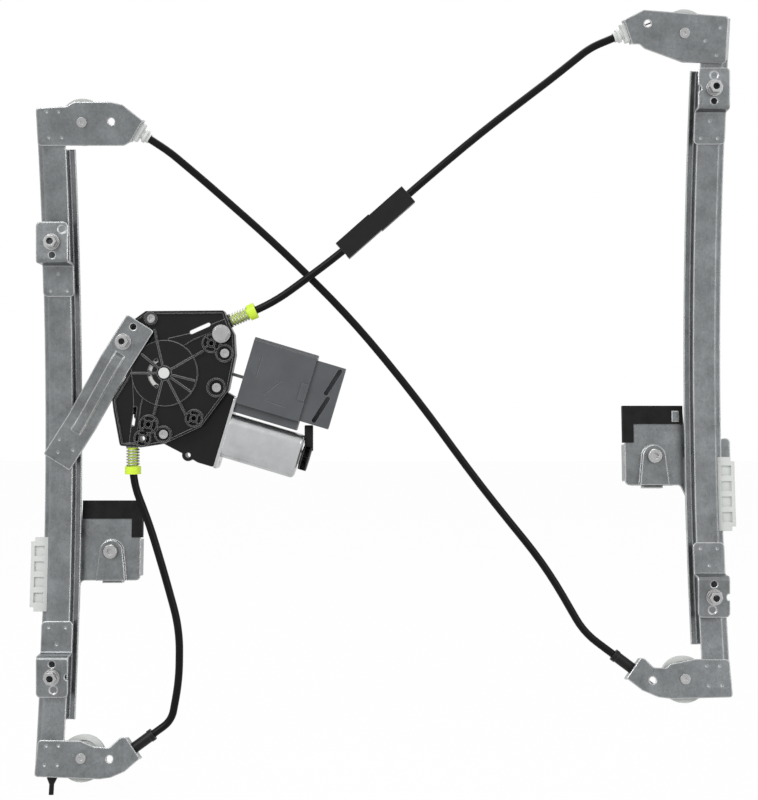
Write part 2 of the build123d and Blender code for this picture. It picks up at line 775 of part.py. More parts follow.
upper_run, lower_run = (
    line_out(point, tangent_angle(point, side), drum_cable_depth) for point, side in ((upper_exit, 1), (lower_exit, -1))
)
upper_mouth = upper_run
lower_mouth = line_out(lower_exit, lower_exit_angle, drum_cable_depth)
cable_exits = ((upper_run, upper_mouth), (lower_run, lower_mouth))
strap_nut_point = drum_plane(housing_front).to_local_coords(strap_nut_plane.origin)
strap_stud_spot = (strap_nut_point.X, strap_nut_point.Y)

with BuildPart() as drum_housing:
    # skin and rim
    with BuildSketch(drum_plane(housing_skin)) as housing_outline:
        with BuildLine():
            FilletPolyline(*housing_points, radius=housing_corner, close=True)
        make_face()
    extrude(amount=-housing_wall)
    with BuildSketch(drum_plane(housing_front + rim_step)):
        add(housing_outline.sketch_local)
        offset(housing_outline.sketch_local, -housing_wall, mode=Mode.SUBTRACT)
    extrude(amount=-(housing_back - housing_front - rim_step))
    # dome over the drum
    with BuildSketch(drum_plane(housing_front + dome_step)):
        Circle(dome_radius)
    extrude(amount=-(housing_back - housing_front - dome_step))
    # cable chutes and the sockets at their ends
    for run, mouth in cable_exits:
        lid = Plane(origin=run.origin, x_dir=run.z_dir, z_dir=run.x_dir).offset(chute_thickness / 2)
        half_chute = [(-chute_length, chute_width / 2), (-chute_neck, neck_width / 2), (-exit_socket / 2, neck_width / 2)]
        with BuildSketch(lid):
            with BuildLine():
                Polyline(*half_chute, *[(x, -y) for x, y in reversed(half_chute)], close=True)
            make_face()
        extrude(amount=-chute_thickness)
        with BuildSketch(mouth):
            Circle(spring_radius)
        extrude(amount=-exit_socket)
    # ribs from the hub out to the bosses
    with BuildSketch(drum_plane(housing_front)):
        for angle, reach in housing_ribs:
            with Locations(Rotation(0, 0, angle)):
                with Locations((reach / 2, 0)):
                    Rectangle(reach, rib_width)
        Circle(hub_radius)
    extrude(amount=-(housing_skin + housing_wall - housing_front))
    for x, y, radius in housing_bosses:
        with BuildSketch(drum_plane(housing_front)):
            with Locations((x, y)):
                Circle(radius)
        extrude(amount=-(housing_back - housing_front))
    # boss recesses, each with a cross of ribs or a screw seat
    for x, y, radius in housing_bosses:
        screwed = (x, y, radius) in screwed_bosses
        with BuildSketch(drum_plane(housing_front)):
            with Locations((x, y)):
                Circle(radius - boss_wall)
                if not screwed:
                    Circle(radius / 2 - boss_wall / 4, mode=Mode.SUBTRACT)
                    for turn in (0, 90):
                        Rectangle(2 * radius, boss_wall, rotation=turn + boss_turn, mode=Mode.SUBTRACT)
        extrude(amount=-boss_recess, mode=Mode.SUBTRACT)
        hole_radius = screw_radius + running_gap if screwed else boss_pilot_radius
        with Locations(drum_plane(housing_front).offset(0)):
            with Locations((x, y)):
                Hole(hole_radius, depth=housing_back - housing_front)
    # room for the drum, its pin and the cable
    with BuildSketch(drum_plane(housing_back)):
        Circle(drum_radius + drum_room)
    extrude(amount=housing_back - drum_front + side_gap, mode=Mode.SUBTRACT)
    with Locations(drum_plane(housing_front)):
        Hole(drum_pin_radius + running_gap, depth=housing_back - housing_front)
        with Locations(module_bolt_spot):
            Hole(module_bolt_radius + running_gap, depth=housing_back - housing_front)
        with Locations(strap_stud_spot):
            Cylinder(nut_thread_radius - running_gap, 2 * (plate_sheet + nut_height), rotation=(0, 0, 0))
    for run, mouth in cable_exits:
        with BuildSketch(run):
            Circle(cable_bore_radius)
        extrude(amount=-2 * chute_length, mode=Mode.SUBTRACT)
        with BuildSketch(mouth):
            Circle(conduit_radius + running_gap)
        extrude(amount=-conduit_seat, mode=Mode.SUBTRACT)
    # slots that show the cable run and the drum
    for spot, turn, size in housing_slots:
        with BuildSketch(drum_plane(housing_front)):
            with Locations(spot):
                SlotOverall(*size, rotation=turn)
        extrude(amount=-(housing_back - housing_front), mode=Mode.SUBTRACT)
    for start, opening in hub_slots:
        with BuildSketch(drum_plane(housing_front)):
            with BuildLine():
                CenterArc((0, 0), hub_slot_radius, start, opening)
            trace(line_width=hub_slot_width)
        extrude(amount=-(drum_front - housing_front), mode=Mode.SUBTRACT)
finish(drum_housing, "drum_housing")


# Carriers: a moulded slider on each rail, and a pressed plate that ends in the clamp for the glass
@dataclass(frozen=True)
class Carrier:
    """A carrier; points of its outlines run from the rail's middle away from the rail's lip, and up."""

    rail: Rail
    slider_z: float
    clamp_low: float
    plate: tuple
    tab_x: float


carriers = (
    Carrier(left, 86.9, -6.0, ((14.0, 30.0), (-26.0, 30.0), (-26.0, -30.0), (12.0, -30.0), (16.5, -6.0)), 0.0),
    Carrier(
        right, 159.7, 8.0,
        ((14.0, 46.0), (-17.0, 46.0), (-17.0, 51.0), (-26.5, 51.0), (-26.5, -30.0), (12.0, -30.0), (15.0, -3.0), (20.0, 8.0)),
        23.5,
    ),
)


def carrier_plane(carrier, depth):
    """Plane at a depth behind the rail's web at the slider's middle, its z towards the cabin."""
    return web_plane(carrier.rail, carrier.slider_z).offset(-depth)


def boss_outline(bottom_half, round_radius, bolt_y, drop):
    """Arch round the clamp bolt, standing on the plate's lower edge, as a sketch centred on the bolt."""
    with BuildSketch(mode=Mode.PRIVATE) as arch:
        Circle(round_radius)
        with BuildLine():
            Polyline(
                (-bottom_half, -bolt_y - drop), (bottom_half, -bolt_y - drop), (round_radius, 0), (-round_radius, 0),
                close=True,
            )
        make_face()
    return arch.sketch


for carrier in carriers:
    rail = carrier.rail
    hand = rail.hand
    top = carrier.clamp_low + clamp_height
    bolt_spot = (hand * clamp_bolt_x, carrier.clamp_low + clamp_bolt_rise)
    front = carrier_plane(carrier, carrier_depth)
    back = front.offset(-carrier_sheet)
    boss_front = front.offset(clamp_boss_rise)
    jaw_depth = carrier_depth + carrier_sheet + 2 * rubber_wall + glass_gap
    low_z, high_z = carrier.slider_z - slider_length / 2, carrier.slider_z + slider_length / 2

    # moulded slider: a block in the channel, a back plate and a hooked shoe round the rail's lip
    with BuildPart() as slider:
        with BuildSketch(section_plane(rail, low_z)):
            with Locations((0, (guide_depth + slider_back) / 2)):
                Rectangle(2 * (half_web - rail_sheet - guide_gap), slider_back - guide_depth)
            with BuildLine():
                Polyline(
                    (slider_inner, slider_back), (slider_inner, wall_depth + slider_gap),
                    (-half_web - lip_width + running_gap, wall_depth + slider_gap),
                    (-half_web - lip_width + running_gap, wall_depth - rail_sheet - slider_gap),
                    (-half_web - side_gap - rail_bend / 2, wall_depth - rail_sheet - slider_gap),
                    (-half_web - side_gap, wall_depth - rail_sheet - slider_gap - rail_bend / 2),
                    (-half_web - side_gap, shoe_front_depth), (-slider_reach, shoe_front_depth),
                    (-slider_reach, slider_back),
                    close=True,
                )
            make_face()
            with Locations((cable_offset, cable_depth)):
                Circle(cable_way_radius, mode=Mode.SUBTRACT)
        revolve(axis=bow_axis(rail), revolution_arc=swept_angle(rail, low_z, high_z))
        # seats for the cable nipples at both ends
        for end_z, way in ((low_z, 1), (high_z, -1)):
            with Locations(section_plane(rail, end_z)):
                with Locations((cable_offset, cable_depth, 0)):
                    Cylinder(nipple_radius + running_gap, 2 * nipple_length, mode=Mode.SUBTRACT)
        # lightening pockets and end notches in the shoe
        with BuildSketch(carrier_plane(carrier, shoe_front_depth - pocket_depth)):
            for step in (-1.5, -0.5, 0.5, 1.5):
                with Locations((hand * shoe_middle, step * pocket_pitch)):
                    Rectangle(pocket_size, pocket_size)
        extrude(amount=-2 * pocket_depth, mode=Mode.SUBTRACT)
        with BuildSketch(carrier_plane(carrier, 0)):
            for way in (-1, 1):
                with Locations((hand * -slider_reach, way * slider_length / 2)):
                    Rectangle(2 * shoe_notch, 2 * shoe_notch)
        extrude(amount=-slider_back, mode=Mode.SUBTRACT)
    finish(slider, f"{rail.name}_slider")

    with BuildPart() as nipples:
        for end_z, way in ((low_z, 1), (high_z, -1)):
            place = section_plane(rail, end_z)
            run = web_plane(rail, end_z).y_dir * way
            seat = Plane(origin=place.from_local_coords(Vector(cable_offset, cable_depth, 0)), z_dir=run)
            with BuildSketch(seat):
                Circle(nipple_radius)
                Circle(cable_way_radius, mode=Mode.SUBTRACT)
            extrude(amount=nipple_length - running_gap)
    finish(nipples, f"{rail.name}_cable_nipples")

    # pressed plate: flat behind the slider, an arched boss at the clamp bolt and a wall at the far edge
    far_x = clamp_near_x + clamp_width + rubber_lip - rubber_wall
    with BuildPart() as carrier_plate:
        with BuildSketch(front):
            with BuildLine():
                outline = [*carrier.plate, (far_x, carrier.clamp_low), (far_x, top), (clamp_near_x, top)]
                FilletPolyline(*handed(rail, outline), radius=plate_corner, close=True)
            make_face()
        extrude(amount=-carrier_sheet)
        with BuildSketch(boss_front):
            with Locations(bolt_spot):
                add(boss_outline(clamp_boss_half, clamp_boss_radius, clamp_bolt_rise, 0))
        extrude(amount=-clamp_boss_rise - carrier_sheet)
        with BuildSketch(boss_front.offset(-carrier_sheet)):
            with Locations(bolt_spot):
                inner_half = clamp_boss_half - carrier_sheet
                add(boss_outline(inner_half, clamp_boss_radius - carrier_sheet, clamp_bolt_rise, carrier_sheet))
        extrude(amount=-clamp_boss_rise - carrier_sheet, mode=Mode.SUBTRACT)
        with BuildSketch(front):
            with Locations((hand * (far_x - carrier_sheet / 2), carrier.clamp_low + side_wall_height / 2 + plate_corner / 2)):
                Rectangle(carrier_sheet, side_wall_height - plate_corner)
        extrude(amount=-side_wall_depth)
        if carrier.tab_x:
            with BuildSketch(front.offset(rubber_lip)):
                with Locations((hand * carrier.tab_x, top - tab_drop - tab_height / 2)):
                    Rectangle(tab_width, tab_height)
            extrude(amount=-rubber_lip - carrier_sheet)
        with Locations(boss_front):
            with Locations(bolt_spot):
                Hole(clamp_bolt_radius + running_gap, depth=carrier_sheet)
    finish(carrier_plate, f"{rail.name}_carrier_plate")

    # rear jaw: flat sheet with a turned-in lower lip and the collar that takes the bolt
    jaw_front = carrier_plane(carrier, jaw_depth)
    jaw_top = top - jaw_top_drop
    collar_length = jaw_depth - carrier_depth - carrier_sheet + clamp_boss_rise
    with BuildPart() as rear_jaw:
        with BuildSketch(jaw_front):
            with Locations((hand * (jaw_near_x + jaw_far_x) / 2, (carrier.clamp_low + jaw_top) / 2)):
                RectangleRounded(jaw_far_x - jaw_near_x, jaw_top - carrier.clamp_low, plate_corner)
        extrude(amount=-jaw_sheet)
        with BuildSketch(jaw_front.offset(jaw_lip_depth)):
            with Locations((hand * clamp_bolt_x, carrier.clamp_low - jaw_sheet / 2 + running_gap)):
                Rectangle(2 * jaw_lip_half, jaw_sheet)
        extrude(amount=-jaw_lip_depth - jaw_sheet)
        with BuildSketch(jaw_front):
            with Locations(bolt_spot):
                Circle(collar_radius)
        extrude(amount=collar_length)
        with Locations(jaw_front.offset(collar_length)):
            with Locations(bolt_spot):
                Hole(clamp_bolt_radius + running_gap, depth=collar_length + jaw_sheet)
    finish(rear_jaw, f"{rail.name}_clamp_jaw")

    # rubber round the mouth of the clamp, open at the top for the glass
    near_x, far_rubber = clamp_near_x + running_gap, far_x + rubber_lip
    middle_x, rubber_width = (near_x + far_rubber) / 2, far_rubber - near_x
    slot_low = top - slot_depth
    jaw_middle, jaw_width = (jaw_near_x + jaw_far_x) / 2, jaw_far_x - jaw_near_x
    with BuildPart() as clamp_rubber:
        # front lip with its two legs
        with BuildSketch(front.offset(rubber_lip)):
            with Locations((hand * middle_x, top + (rubber_lip - rubber_band) / 2)):
                Rectangle(rubber_width, rubber_band + rubber_lip)
            with Locations((hand * (far_rubber - far_leg_width / 2), top - far_leg_height / 2)):
                Rectangle(far_leg_width, far_leg_height)
            if carrier.tab_x:
                with Locations((hand * carrier.tab_x, top - tab_drop - tab_height / 2)):
                    Rectangle(tab_width + 2 * running_gap, tab_height + 2 * running_gap, mode=Mode.SUBTRACT)
        extrude(amount=-rubber_lip)
        # cover over the plate's top edge, down to the inner wall
        with BuildSketch(front):
            with Locations((hand * middle_x, top + (rubber_lip + running_gap) / 2)):
                Rectangle(rubber_width, rubber_lip - running_gap)
        extrude(amount=-carrier_sheet - rubber_wall)
        wall_low = slot_low - rubber_wall
        with BuildSketch(back.offset(-running_gap)):
            with Locations((hand * middle_x, (top + rubber_lip + wall_low) / 2)):
                Rectangle(rubber_width, top + rubber_lip - wall_low)
        extrude(amount=running_gap - rubber_wall)
        with BuildSketch(back.offset(-rubber_wall)):
            with Locations((hand * jaw_middle, slot_low - rubber_wall / 2)):
                Rectangle(jaw_width, rubber_wall)
        extrude(amount=-glass_gap)
        with BuildSketch(jaw_front.offset(rubber_wall)):
            with Locations((hand * jaw_middle, (jaw_top + wall_low) / 2)):
                Rectangle(jaw_width, jaw_top - wall_low)
        extrude(amount=running_gap - rubber_wall)
    finish(clamp_rubber, f"{rail.name}_clamp_rubber")

    with BuildPart() as clamp_bolt:
        with BuildSketch(boss_front.offset(bolt_head_height)):
            with Locations(bolt_spot):
                Circle(bolt_head_radius)
        extrude(amount=-bolt_head_height)
        chamfer(faces().sort_by(Axis(front.origin, front.z_dir))[-1].edges(), bolt_edge)
        with BuildSketch(boss_front):
            with Locations(bolt_spot):
                Circle(clamp_bolt_radius)
        extrude(amount=-carrier_sheet - collar_length - jaw_sheet - bolt_proud)
        with BuildSketch(boss_front.offset(bolt_head_height - bolt_drive_depth)):
            with Locations(bolt_spot):
                RegularPolygon(bolt_drive_radius, 6)
                RegularPolygon(bolt_drive_radius, 6, rotation=30)
        extrude(amount=bolt_drive_depth, mode=Mode.SUBTRACT)
    finish(clamp_bolt, f"{rail.name}_clamp_bolt")


# Cable drum: three half-round grooves for the cable and a toothed hub that reaches into the worm wheel
def hub_outline(growth):
    """Outline of the drum's hub with its three dogs, as a sketch grown all round."""
    with BuildSketch(mode=Mode.PRIVATE) as hub:
        Circle(hub_dog_radius + growth)
        with PolarLocations(hub_dog_radius, hub_dogs):
            Circle(dog_radius + growth)
    return hub.sketch


def damper_outline(growth):
    """Outline of the rubber damper with its three lobes, as a sketch grown all round."""
    with BuildSketch(mode=Mode.PRIVATE) as damper:
        Circle(damper_radius + growth)
        with PolarLocations(damper_radius, hub_dogs, start_angle=180 / hub_dogs):
            Circle(lobe_radius + growth)
    return damper.sketch


drum_back = drum_front + drum_width
drum_axis = Axis(drum_plane(0).origin, drum_plane(0).z_dir)
with BuildPart() as cable_drum:
    with BuildSketch(revolve_plane(drum_plane(0), -drum_cable_depth)):
        with Locations((drum_cable_radius / 2, 0)):
            Rectangle(drum_cable_radius, drum_width)
        for side in (-1, 1):
            with Locations((drum_radius / 2, side * (drum_width - drum_rim) / 2)):
                Rectangle(drum_radius, drum_rim)
        for turn in (-1, 0, 1):
            with Locations((drum_cable_radius, turn * drum_groove_pitch)):
                Circle(cable_diameter / 2 + running_gap, mode=Mode.SUBTRACT)
    revolve(axis=drum_axis)
    with BuildSketch(drum_plane(drum_back)):
        add(hub_outline(0))
    extrude(amount=-hub_reach)
    with BuildSketch(drum_plane(drum_front)):
        with PolarLocations(drum_window_ring, drum_windows):
            Circle(drum_window_radius)
    extrude(amount=-drum_window_depth, mode=Mode.SUBTRACT)
    with Locations(drum_plane(drum_front)):
        Hole(drum_pin_radius + running_gap, depth=drum_width + hub_reach)
finish(cable_drum, "cable_drum")

with BuildPart() as drum_pin:
    with BuildSketch(drum_plane(housing_front)):
        Circle(drum_pin_head_radius)
    extrude(amount=drum_pin_head_height)
    with BuildSketch(drum_plane(housing_front)):
        Circle(drum_pin_radius)
    extrude(amount=-(gear_back - housing_front - gear_wall / 2))
finish(drum_pin, "drum_pin")


# Worm wheel with its rubber damper
tooth_angle = 2 * math.pi / wheel_teeth
wheel_points = []
for tooth in range(wheel_teeth):
    for share, radius in (
        (-0.36, wheel_tip_radius - wheel_tooth_depth), (-0.14, wheel_tip_radius),
        (0.14, wheel_tip_radius), (0.36, wheel_tip_radius - wheel_tooth_depth),
    ):
        angle = (tooth + share) * tooth_angle
        wheel_points.append((radius * math.cos(angle), radius * math.sin(angle)))
with BuildPart() as worm_wheel:
    with BuildSketch(drum_plane(wheel_front)):
        with BuildLine():
            Polyline(*wheel_points, close=True)
        make_face()
    extrude(amount=-wheel_width)
    with BuildSketch(drum_plane(wheel_front)):
        add(damper_outline(running_gap))
    extrude(amount=-wheel_recess, mode=Mode.SUBTRACT)
    with Locations(drum_plane(wheel_front)):
        Hole(drum_pin_radius + running_gap, depth=wheel_width)
finish(worm_wheel, "worm_wheel")

with BuildPart() as drive_damper:
    with BuildSketch(drum_plane(wheel_front)):
        add(damper_outline(0))
        add(hub_outline(running_gap), mode=Mode.SUBTRACT)
    extrude(amount=-wheel_recess)
finish(drive_damper, "drive_damper")


# Gear housing behind the drum housing, with its cover and the ears that take the screws
def motor_plane(depth):
    """Plane in the motor's directions: local x along the worm's axis to the motor, z towards the cabin."""
    turn = math.radians(motor_tilt)
    foot = Vector(-math.sin(turn), -math.cos(turn)) * worm_axis_drop
    origin = drum_plane(depth).from_local_coords(foot)
    return Plane(origin=origin, x_dir=(math.cos(turn), 0, -math.sin(turn)), z_dir=(0, -1, 0))


worm_depth = wheel_front + wheel_width / 2


def shaft_plane(reach):
    """Plane across the worm's axis: local x across the motor, y towards the cabin, z away from the worm."""
    place = motor_plane(worm_depth)
    return Plane(origin=place.from_local_coords(Vector(reach, 0, 0)), x_dir=place.y_dir, z_dir=place.x_dir)


fastened = [spot[:2] for spot in screwed_bosses] + [module_bolt_spot]
with BuildPart() as gear_housing:
    with BuildSketch(drum_plane(housing_back)):
        Circle(gear_cup_radius)
    extrude(amount=-(gear_back - housing_back))
    with BuildSketch(motor_plane(housing_back)):
        with BuildLine():
            FilletPolyline(*gear_points, radius=gear_corner, close=True)
        make_face()
        with Locations(gear_lug_spot):
            Circle(gear_lug_radius)
    extrude(amount=-(gear_back - housing_back))
    with BuildSketch(drum_plane(housing_back)):
        for x, y in fastened:
            with Locations((x, y)):
                Circle(ear_radius)
            with Locations(Rotation(0, 0, math.degrees(math.atan2(y, x)))):
                with Locations((math.hypot(x, y) / 2, 0)):
                    Rectangle(math.hypot(x, y), ear_radius)
    extrude(amount=-ear_depth)
    with BuildSketch(drum_plane(housing_back)):
        Circle(gear_cup_radius - gear_rim + running_gap)
    extrude(amount=-cover_sheet, mode=Mode.SUBTRACT)
    with BuildSketch(drum_plane(housing_back)):
        Circle(wheel_tip_radius + wheel_room)
    extrude(amount=-(gear_back - gear_wall - housing_back), mode=Mode.SUBTRACT)
    with BuildSketch(shaft_plane(worm_bore_start)):
        Circle(worm_bore_radius)
    extrude(amount=can_start - worm_bore_start, mode=Mode.SUBTRACT)
    with BuildSketch(shaft_plane(worm_bore_start)):
        Circle(shaft_radius + running_gap)
    extrude(amount=shaft_start - side_gap - worm_bore_start, mode=Mode.SUBTRACT)
    with Locations(drum_plane(housing_back)):
        Hole(drum_pin_radius + running_gap, depth=gear_back - housing_back - gear_wall / 2 + side_gap)
        with Locations(*fastened[:-1]):
            Hole(screw_radius + running_gap, depth=ear_depth)
        with Locations(fastened[-1]):
            Hole(module_bolt_radius + running_gap, depth=ear_depth)
    with Locations(motor_plane(housing_back)):
        with Locations(gear_lug_spot):
            Hole(boss_pilot_radius, depth=gear_back - housing_back)
finish(gear_housing, "gear_housing")

with BuildPart() as gear_cover:
    with BuildSketch(drum_plane(housing_back)):
        Circle(gear_cup_radius - gear_rim)
        Circle(cover_hole_radius, mode=Mode.SUBTRACT)
    extrude(amount=-cover_sheet)
finish(gear_cover, "gear_cover")

with BuildPart() as housing_screws:
    for spot in fastened[:-1]:
        seat = drum_plane(housing_front + boss_recess)
        with BuildSketch(seat):
            with Locations(spot):
                Circle(screw_head_radius)
        extrude(amount=screw_head_height)
        with BuildSketch(seat):
            with Locations(spot):
                Circle(screw_radius)
        extrude(amount=-(housing_back + ear_depth - housing_front - boss_recess - side_gap))
        with BuildSketch(seat.offset(screw_head_height)):
            with Locations(spot):
                RegularPolygon(screw_drive_radius, 6)
        extrude(amount=-screw_drive_depth, mode=Mode.SUBTRACT)
finish(housing_screws, "housing_screws")

with BuildPart() as module_bolt:
    seat = drum_plane(housing_front)
    with BuildSketch(seat):
        with Locations(module_bolt_spot):
            Circle(module_bolt_flange)
    extrude(amount=module_bolt_flange_height)
    with BuildSketch(seat):
        with Locations(module_bolt_spot):
            RegularPolygon(module_bolt_head, 6, major_radius=False)
    extrude(amount=module_bolt_height)
    with BuildSketch(seat):
        with Locations(module_bolt_spot):
            Circle(module_bolt_radius)
    extrude(amount=-(housing_back + ear_depth - housing_front - side_gap))
finish(module_bolt, "module_bolt")


# Motor: can, flange, magnets, and the armature on the worm's shaft
def can_profile(inset):
    """Flat-sided outline of the motor can, as a sketch made smaller all round."""
    with BuildSketch(mode=Mode.PRIVATE) as outline:
        RectangleRounded(can_width - 2 * inset, can_thickness - 2 * inset, can_corner - inset)
    return outline.sketch


with BuildPart() as motor_can:
    with BuildSketch(shaft_plane(can_start)):
        add(can_profile(0))
    extrude(amount=can_end - can_start)
    fillet(faces().sort_by(Axis((0, 0, 0), shaft_plane(0).z_dir))[-1].edges(), can_edge)
    with BuildSketch(shaft_plane(can_end)):
        Circle(can_nose_radius)
    extrude(amount=can_nose_length)
    with BuildSketch(shaft_plane(can_start)):
        add(can_profile(can_wall))
    extrude(amount=can_end - can_wall - can_start, mode=Mode.SUBTRACT)
    with BuildSketch(shaft_plane(can_start)):
        Circle(shaft_radius + running_gap)
    extrude(amount=shaft_end + side_gap - can_start, mode=Mode.SUBTRACT)
finish(motor_can, "motor_can")

with BuildPart() as motor_flange:
    with BuildSketch(shaft_plane(can_start - flange_sheet)):
        with Locations(((flange_low + flange_high) / 2, 0)):
            RectangleRounded(flange_high - flange_low, can_thickness, can_edge)
        Circle(shaft_radius + running_gap, mode=Mode.SUBTRACT)
        with Locations(*[(x, 0) for x in (flange_low + flange_screw_inset, flange_high - flange_screw_inset)]):
            Circle(screw_radius, mode=Mode.SUBTRACT)
    extrude(amount=flange_sheet)
finish(motor_flange, "motor_flange")

with BuildPart() as motor_magnets:
    for side in (0, 180):
        with BuildSketch(shaft_plane(core_start)):
            with BuildLine():
                for radius in (magnet_inner, magnet_outer):
                    CenterArc((0, 0), radius, side - magnet_half_angle, 2 * magnet_half_angle)
                for angle in (side - magnet_half_angle, side + magnet_half_angle):
                    turn = math.radians(angle)
                    ray = Vector(math.cos(turn), math.sin(turn))
                    Line(ray * magnet_inner, ray * magnet_outer)
            make_face()
        extrude(amount=core_end - core_start)
finish(motor_magnets, "motor_magnets")

with BuildPart() as worm_shaft:
    with BuildSketch(shaft_plane(shaft_start)):
        Circle(shaft_radius)
    extrude(amount=shaft_end - shaft_start)
    with BuildSketch(shaft_plane(-worm_thread_length / 2 - worm_thread_pitch)):
        Circle(worm_root_radius)
    extrude(amount=worm_thread_length + 2 * worm_thread_pitch)
    thread_foot = shaft_plane(-worm_thread_length / 2)
    thread_radius = worm_root_radius - thread_sink
    with BuildLine() as turns:
        Helix(
            worm_thread_pitch, worm_thread_length, thread_radius,
            center=thread_foot.origin, direction=thread_foot.z_dir,
        )
    thread_start = turns.line @ 0
    with BuildSketch(Plane(origin=thread_start, x_dir=thread_start - thread_foot.origin, z_dir=turns.line % 0)):
        thread_height = worm_crest_radius - worm_root_radius + thread_sink
        with BuildLine():
            Polyline(
                (0, -thread_foot_half), (thread_height, -thread_crest_half), (thread_height, thread_crest_half),
                (0, thread_foot_half), close=True,
            )
        make_face()
    sweep(is_frenet=True)
finish(worm_shaft, "worm_shaft")

with BuildPart() as motor_armature:
    with BuildSketch(shaft_plane(core_start)):
        Circle(core_radius)
        Circle(shaft_radius + running_gap, mode=Mode.SUBTRACT)
        with PolarLocations(core_radius, core_slots):
            Rectangle(2 * core_slot_depth, core_slot_width, mode=Mode.SUBTRACT)
    extrude(amount=core_end - core_start)
    with BuildSketch(shaft_plane(commutator_start)):
        Circle(commutator_radius)
        Circle(shaft_radius + running_gap, mode=Mode.SUBTRACT)
    extrude(amount=commutator_end - commutator_start)
finish(motor_armature, "motor_armature")


# Electronic module: a closed box beside the motor with a connector shroud at its end
def module_profile(inset):
    """Section of the module across the motor, open at the back when it is made smaller all round."""
    front, step, back = worm_depth - ecu_front - inset, worm_depth - ecu_front - ecu_step_depth - inset, worm_depth - ecu_back
    points = [
        (ecu_step_low + inset, back), (ecu_step_low + inset, step), (ecu_low + inset, step), (ecu_low + inset, front),
        (ecu_high - ecu_bevel - inset / 2, front), (ecu_high - inset, front - ecu_bevel + inset / 2), (ecu_high - inset, back),
    ]
    with BuildSketch(mode=Mode.PRIVATE) as section:
        with BuildLine():
            Polyline(*points, close=True)
        make_face()
    return section.sketch


with BuildPart() as module_housing:
    with BuildSketch(shaft_plane(ecu_start)):
        add(module_profile(0))
    extrude(amount=ecu_end - ecu_start)
    with BuildSketch(shaft_plane(ecu_start + ecu_wall)):
        add(module_profile(ecu_wall))
    extrude(amount=ecu_end - ecu_start - 2 * ecu_wall, mode=Mode.SUBTRACT)
    with BuildSketch(motor_plane(arm_front)):
        with Locations(((arm_start + ecu_start) / 2, arm_m)):
            Rectangle(ecu_start - arm_start, arm_width)
    extrude(amount=-arm_thickness)
    with BuildSketch(motor_plane(ecu_front)):
        for x1, y1, x2, y2 in groove_lines:
            with BuildLine():
                Line((x1, y1), (x2, y2))
            trace(line_width=groove_width)
    extrude(amount=-groove_depth, mode=Mode.SUBTRACT)
    with BuildSketch(motor_plane(ecu_front)):
        with Locations(latch_spot):
            Rectangle(*latch_size)
    extrude(amount=latch_height)
finish(module_housing, "module_housing")

with BuildPart() as module_cover:
    with BuildSketch(motor_plane(ecu_back)):
        with Locations(((ecu_start + ecu_end) / 2, (ecu_step_low + ecu_high) / 2)):
            Rectangle(ecu_end - ecu_start, ecu_high - ecu_step_low)
    extrude(amount=-ecu_cover_sheet)
finish(module_cover, "module_cover")

with BuildPart() as circuit_board:
    board_front = ecu_back - board_gap - board_sheet
    board_length = ecu_end - ecu_start - 2 * (ecu_wall + board_gap)
    board_width = ecu_high - ecu_low - 2 * (ecu_wall + board_gap)
    board_middle = ((ecu_start + ecu_end) / 2, (ecu_low + ecu_high) / 2)
    with BuildSketch(motor_plane(board_front)):
        with Locations(board_middle):
            Rectangle(board_length, board_width)
    extrude(amount=-board_sheet)
    for x, y, length, width, height in board_parts:
        with BuildSketch(motor_plane(board_front)):
            with Locations((board_middle[0] + x, board_middle[1] + y)):
                Rectangle(length, width)
        extrude(amount=height)
finish(circuit_board, "circuit_board")

with BuildPart() as connector_shroud:
    shroud_middle = ((ecu_end + shroud_end) / 2, (shroud_low + shroud_high) / 2)
    with BuildSketch(motor_plane(ecu_front + shroud_step)):
        with Locations(shroud_middle):
            Rectangle(shroud_end - ecu_end, shroud_high - shroud_low)
    extrude(amount=-(ecu_back - ecu_front - 2 * shroud_step))
    with BuildSketch(motor_plane(ecu_front + shroud_step + ecu_wall)):
        with Locations((shroud_middle[0] + ecu_wall, shroud_middle[1])):
            Rectangle(shroud_end - ecu_end, shroud_high - shroud_low - 2 * ecu_wall)
    extrude(amount=-(ecu_back - ecu_front - 2 * shroud_step - 2 * ecu_wall), mode=Mode.SUBTRACT)
    with BuildSketch(motor_plane(ecu_front)):
        for spot in shroud_slots:
            with Locations(spot):
                SlotOverall(*shroud_slot_size, rotation=shroud_slot_turn)
    extrude(amount=-shroud_slot_depth, mode=Mode.SUBTRACT)
finish(connector_shroud, "connector_shroud")


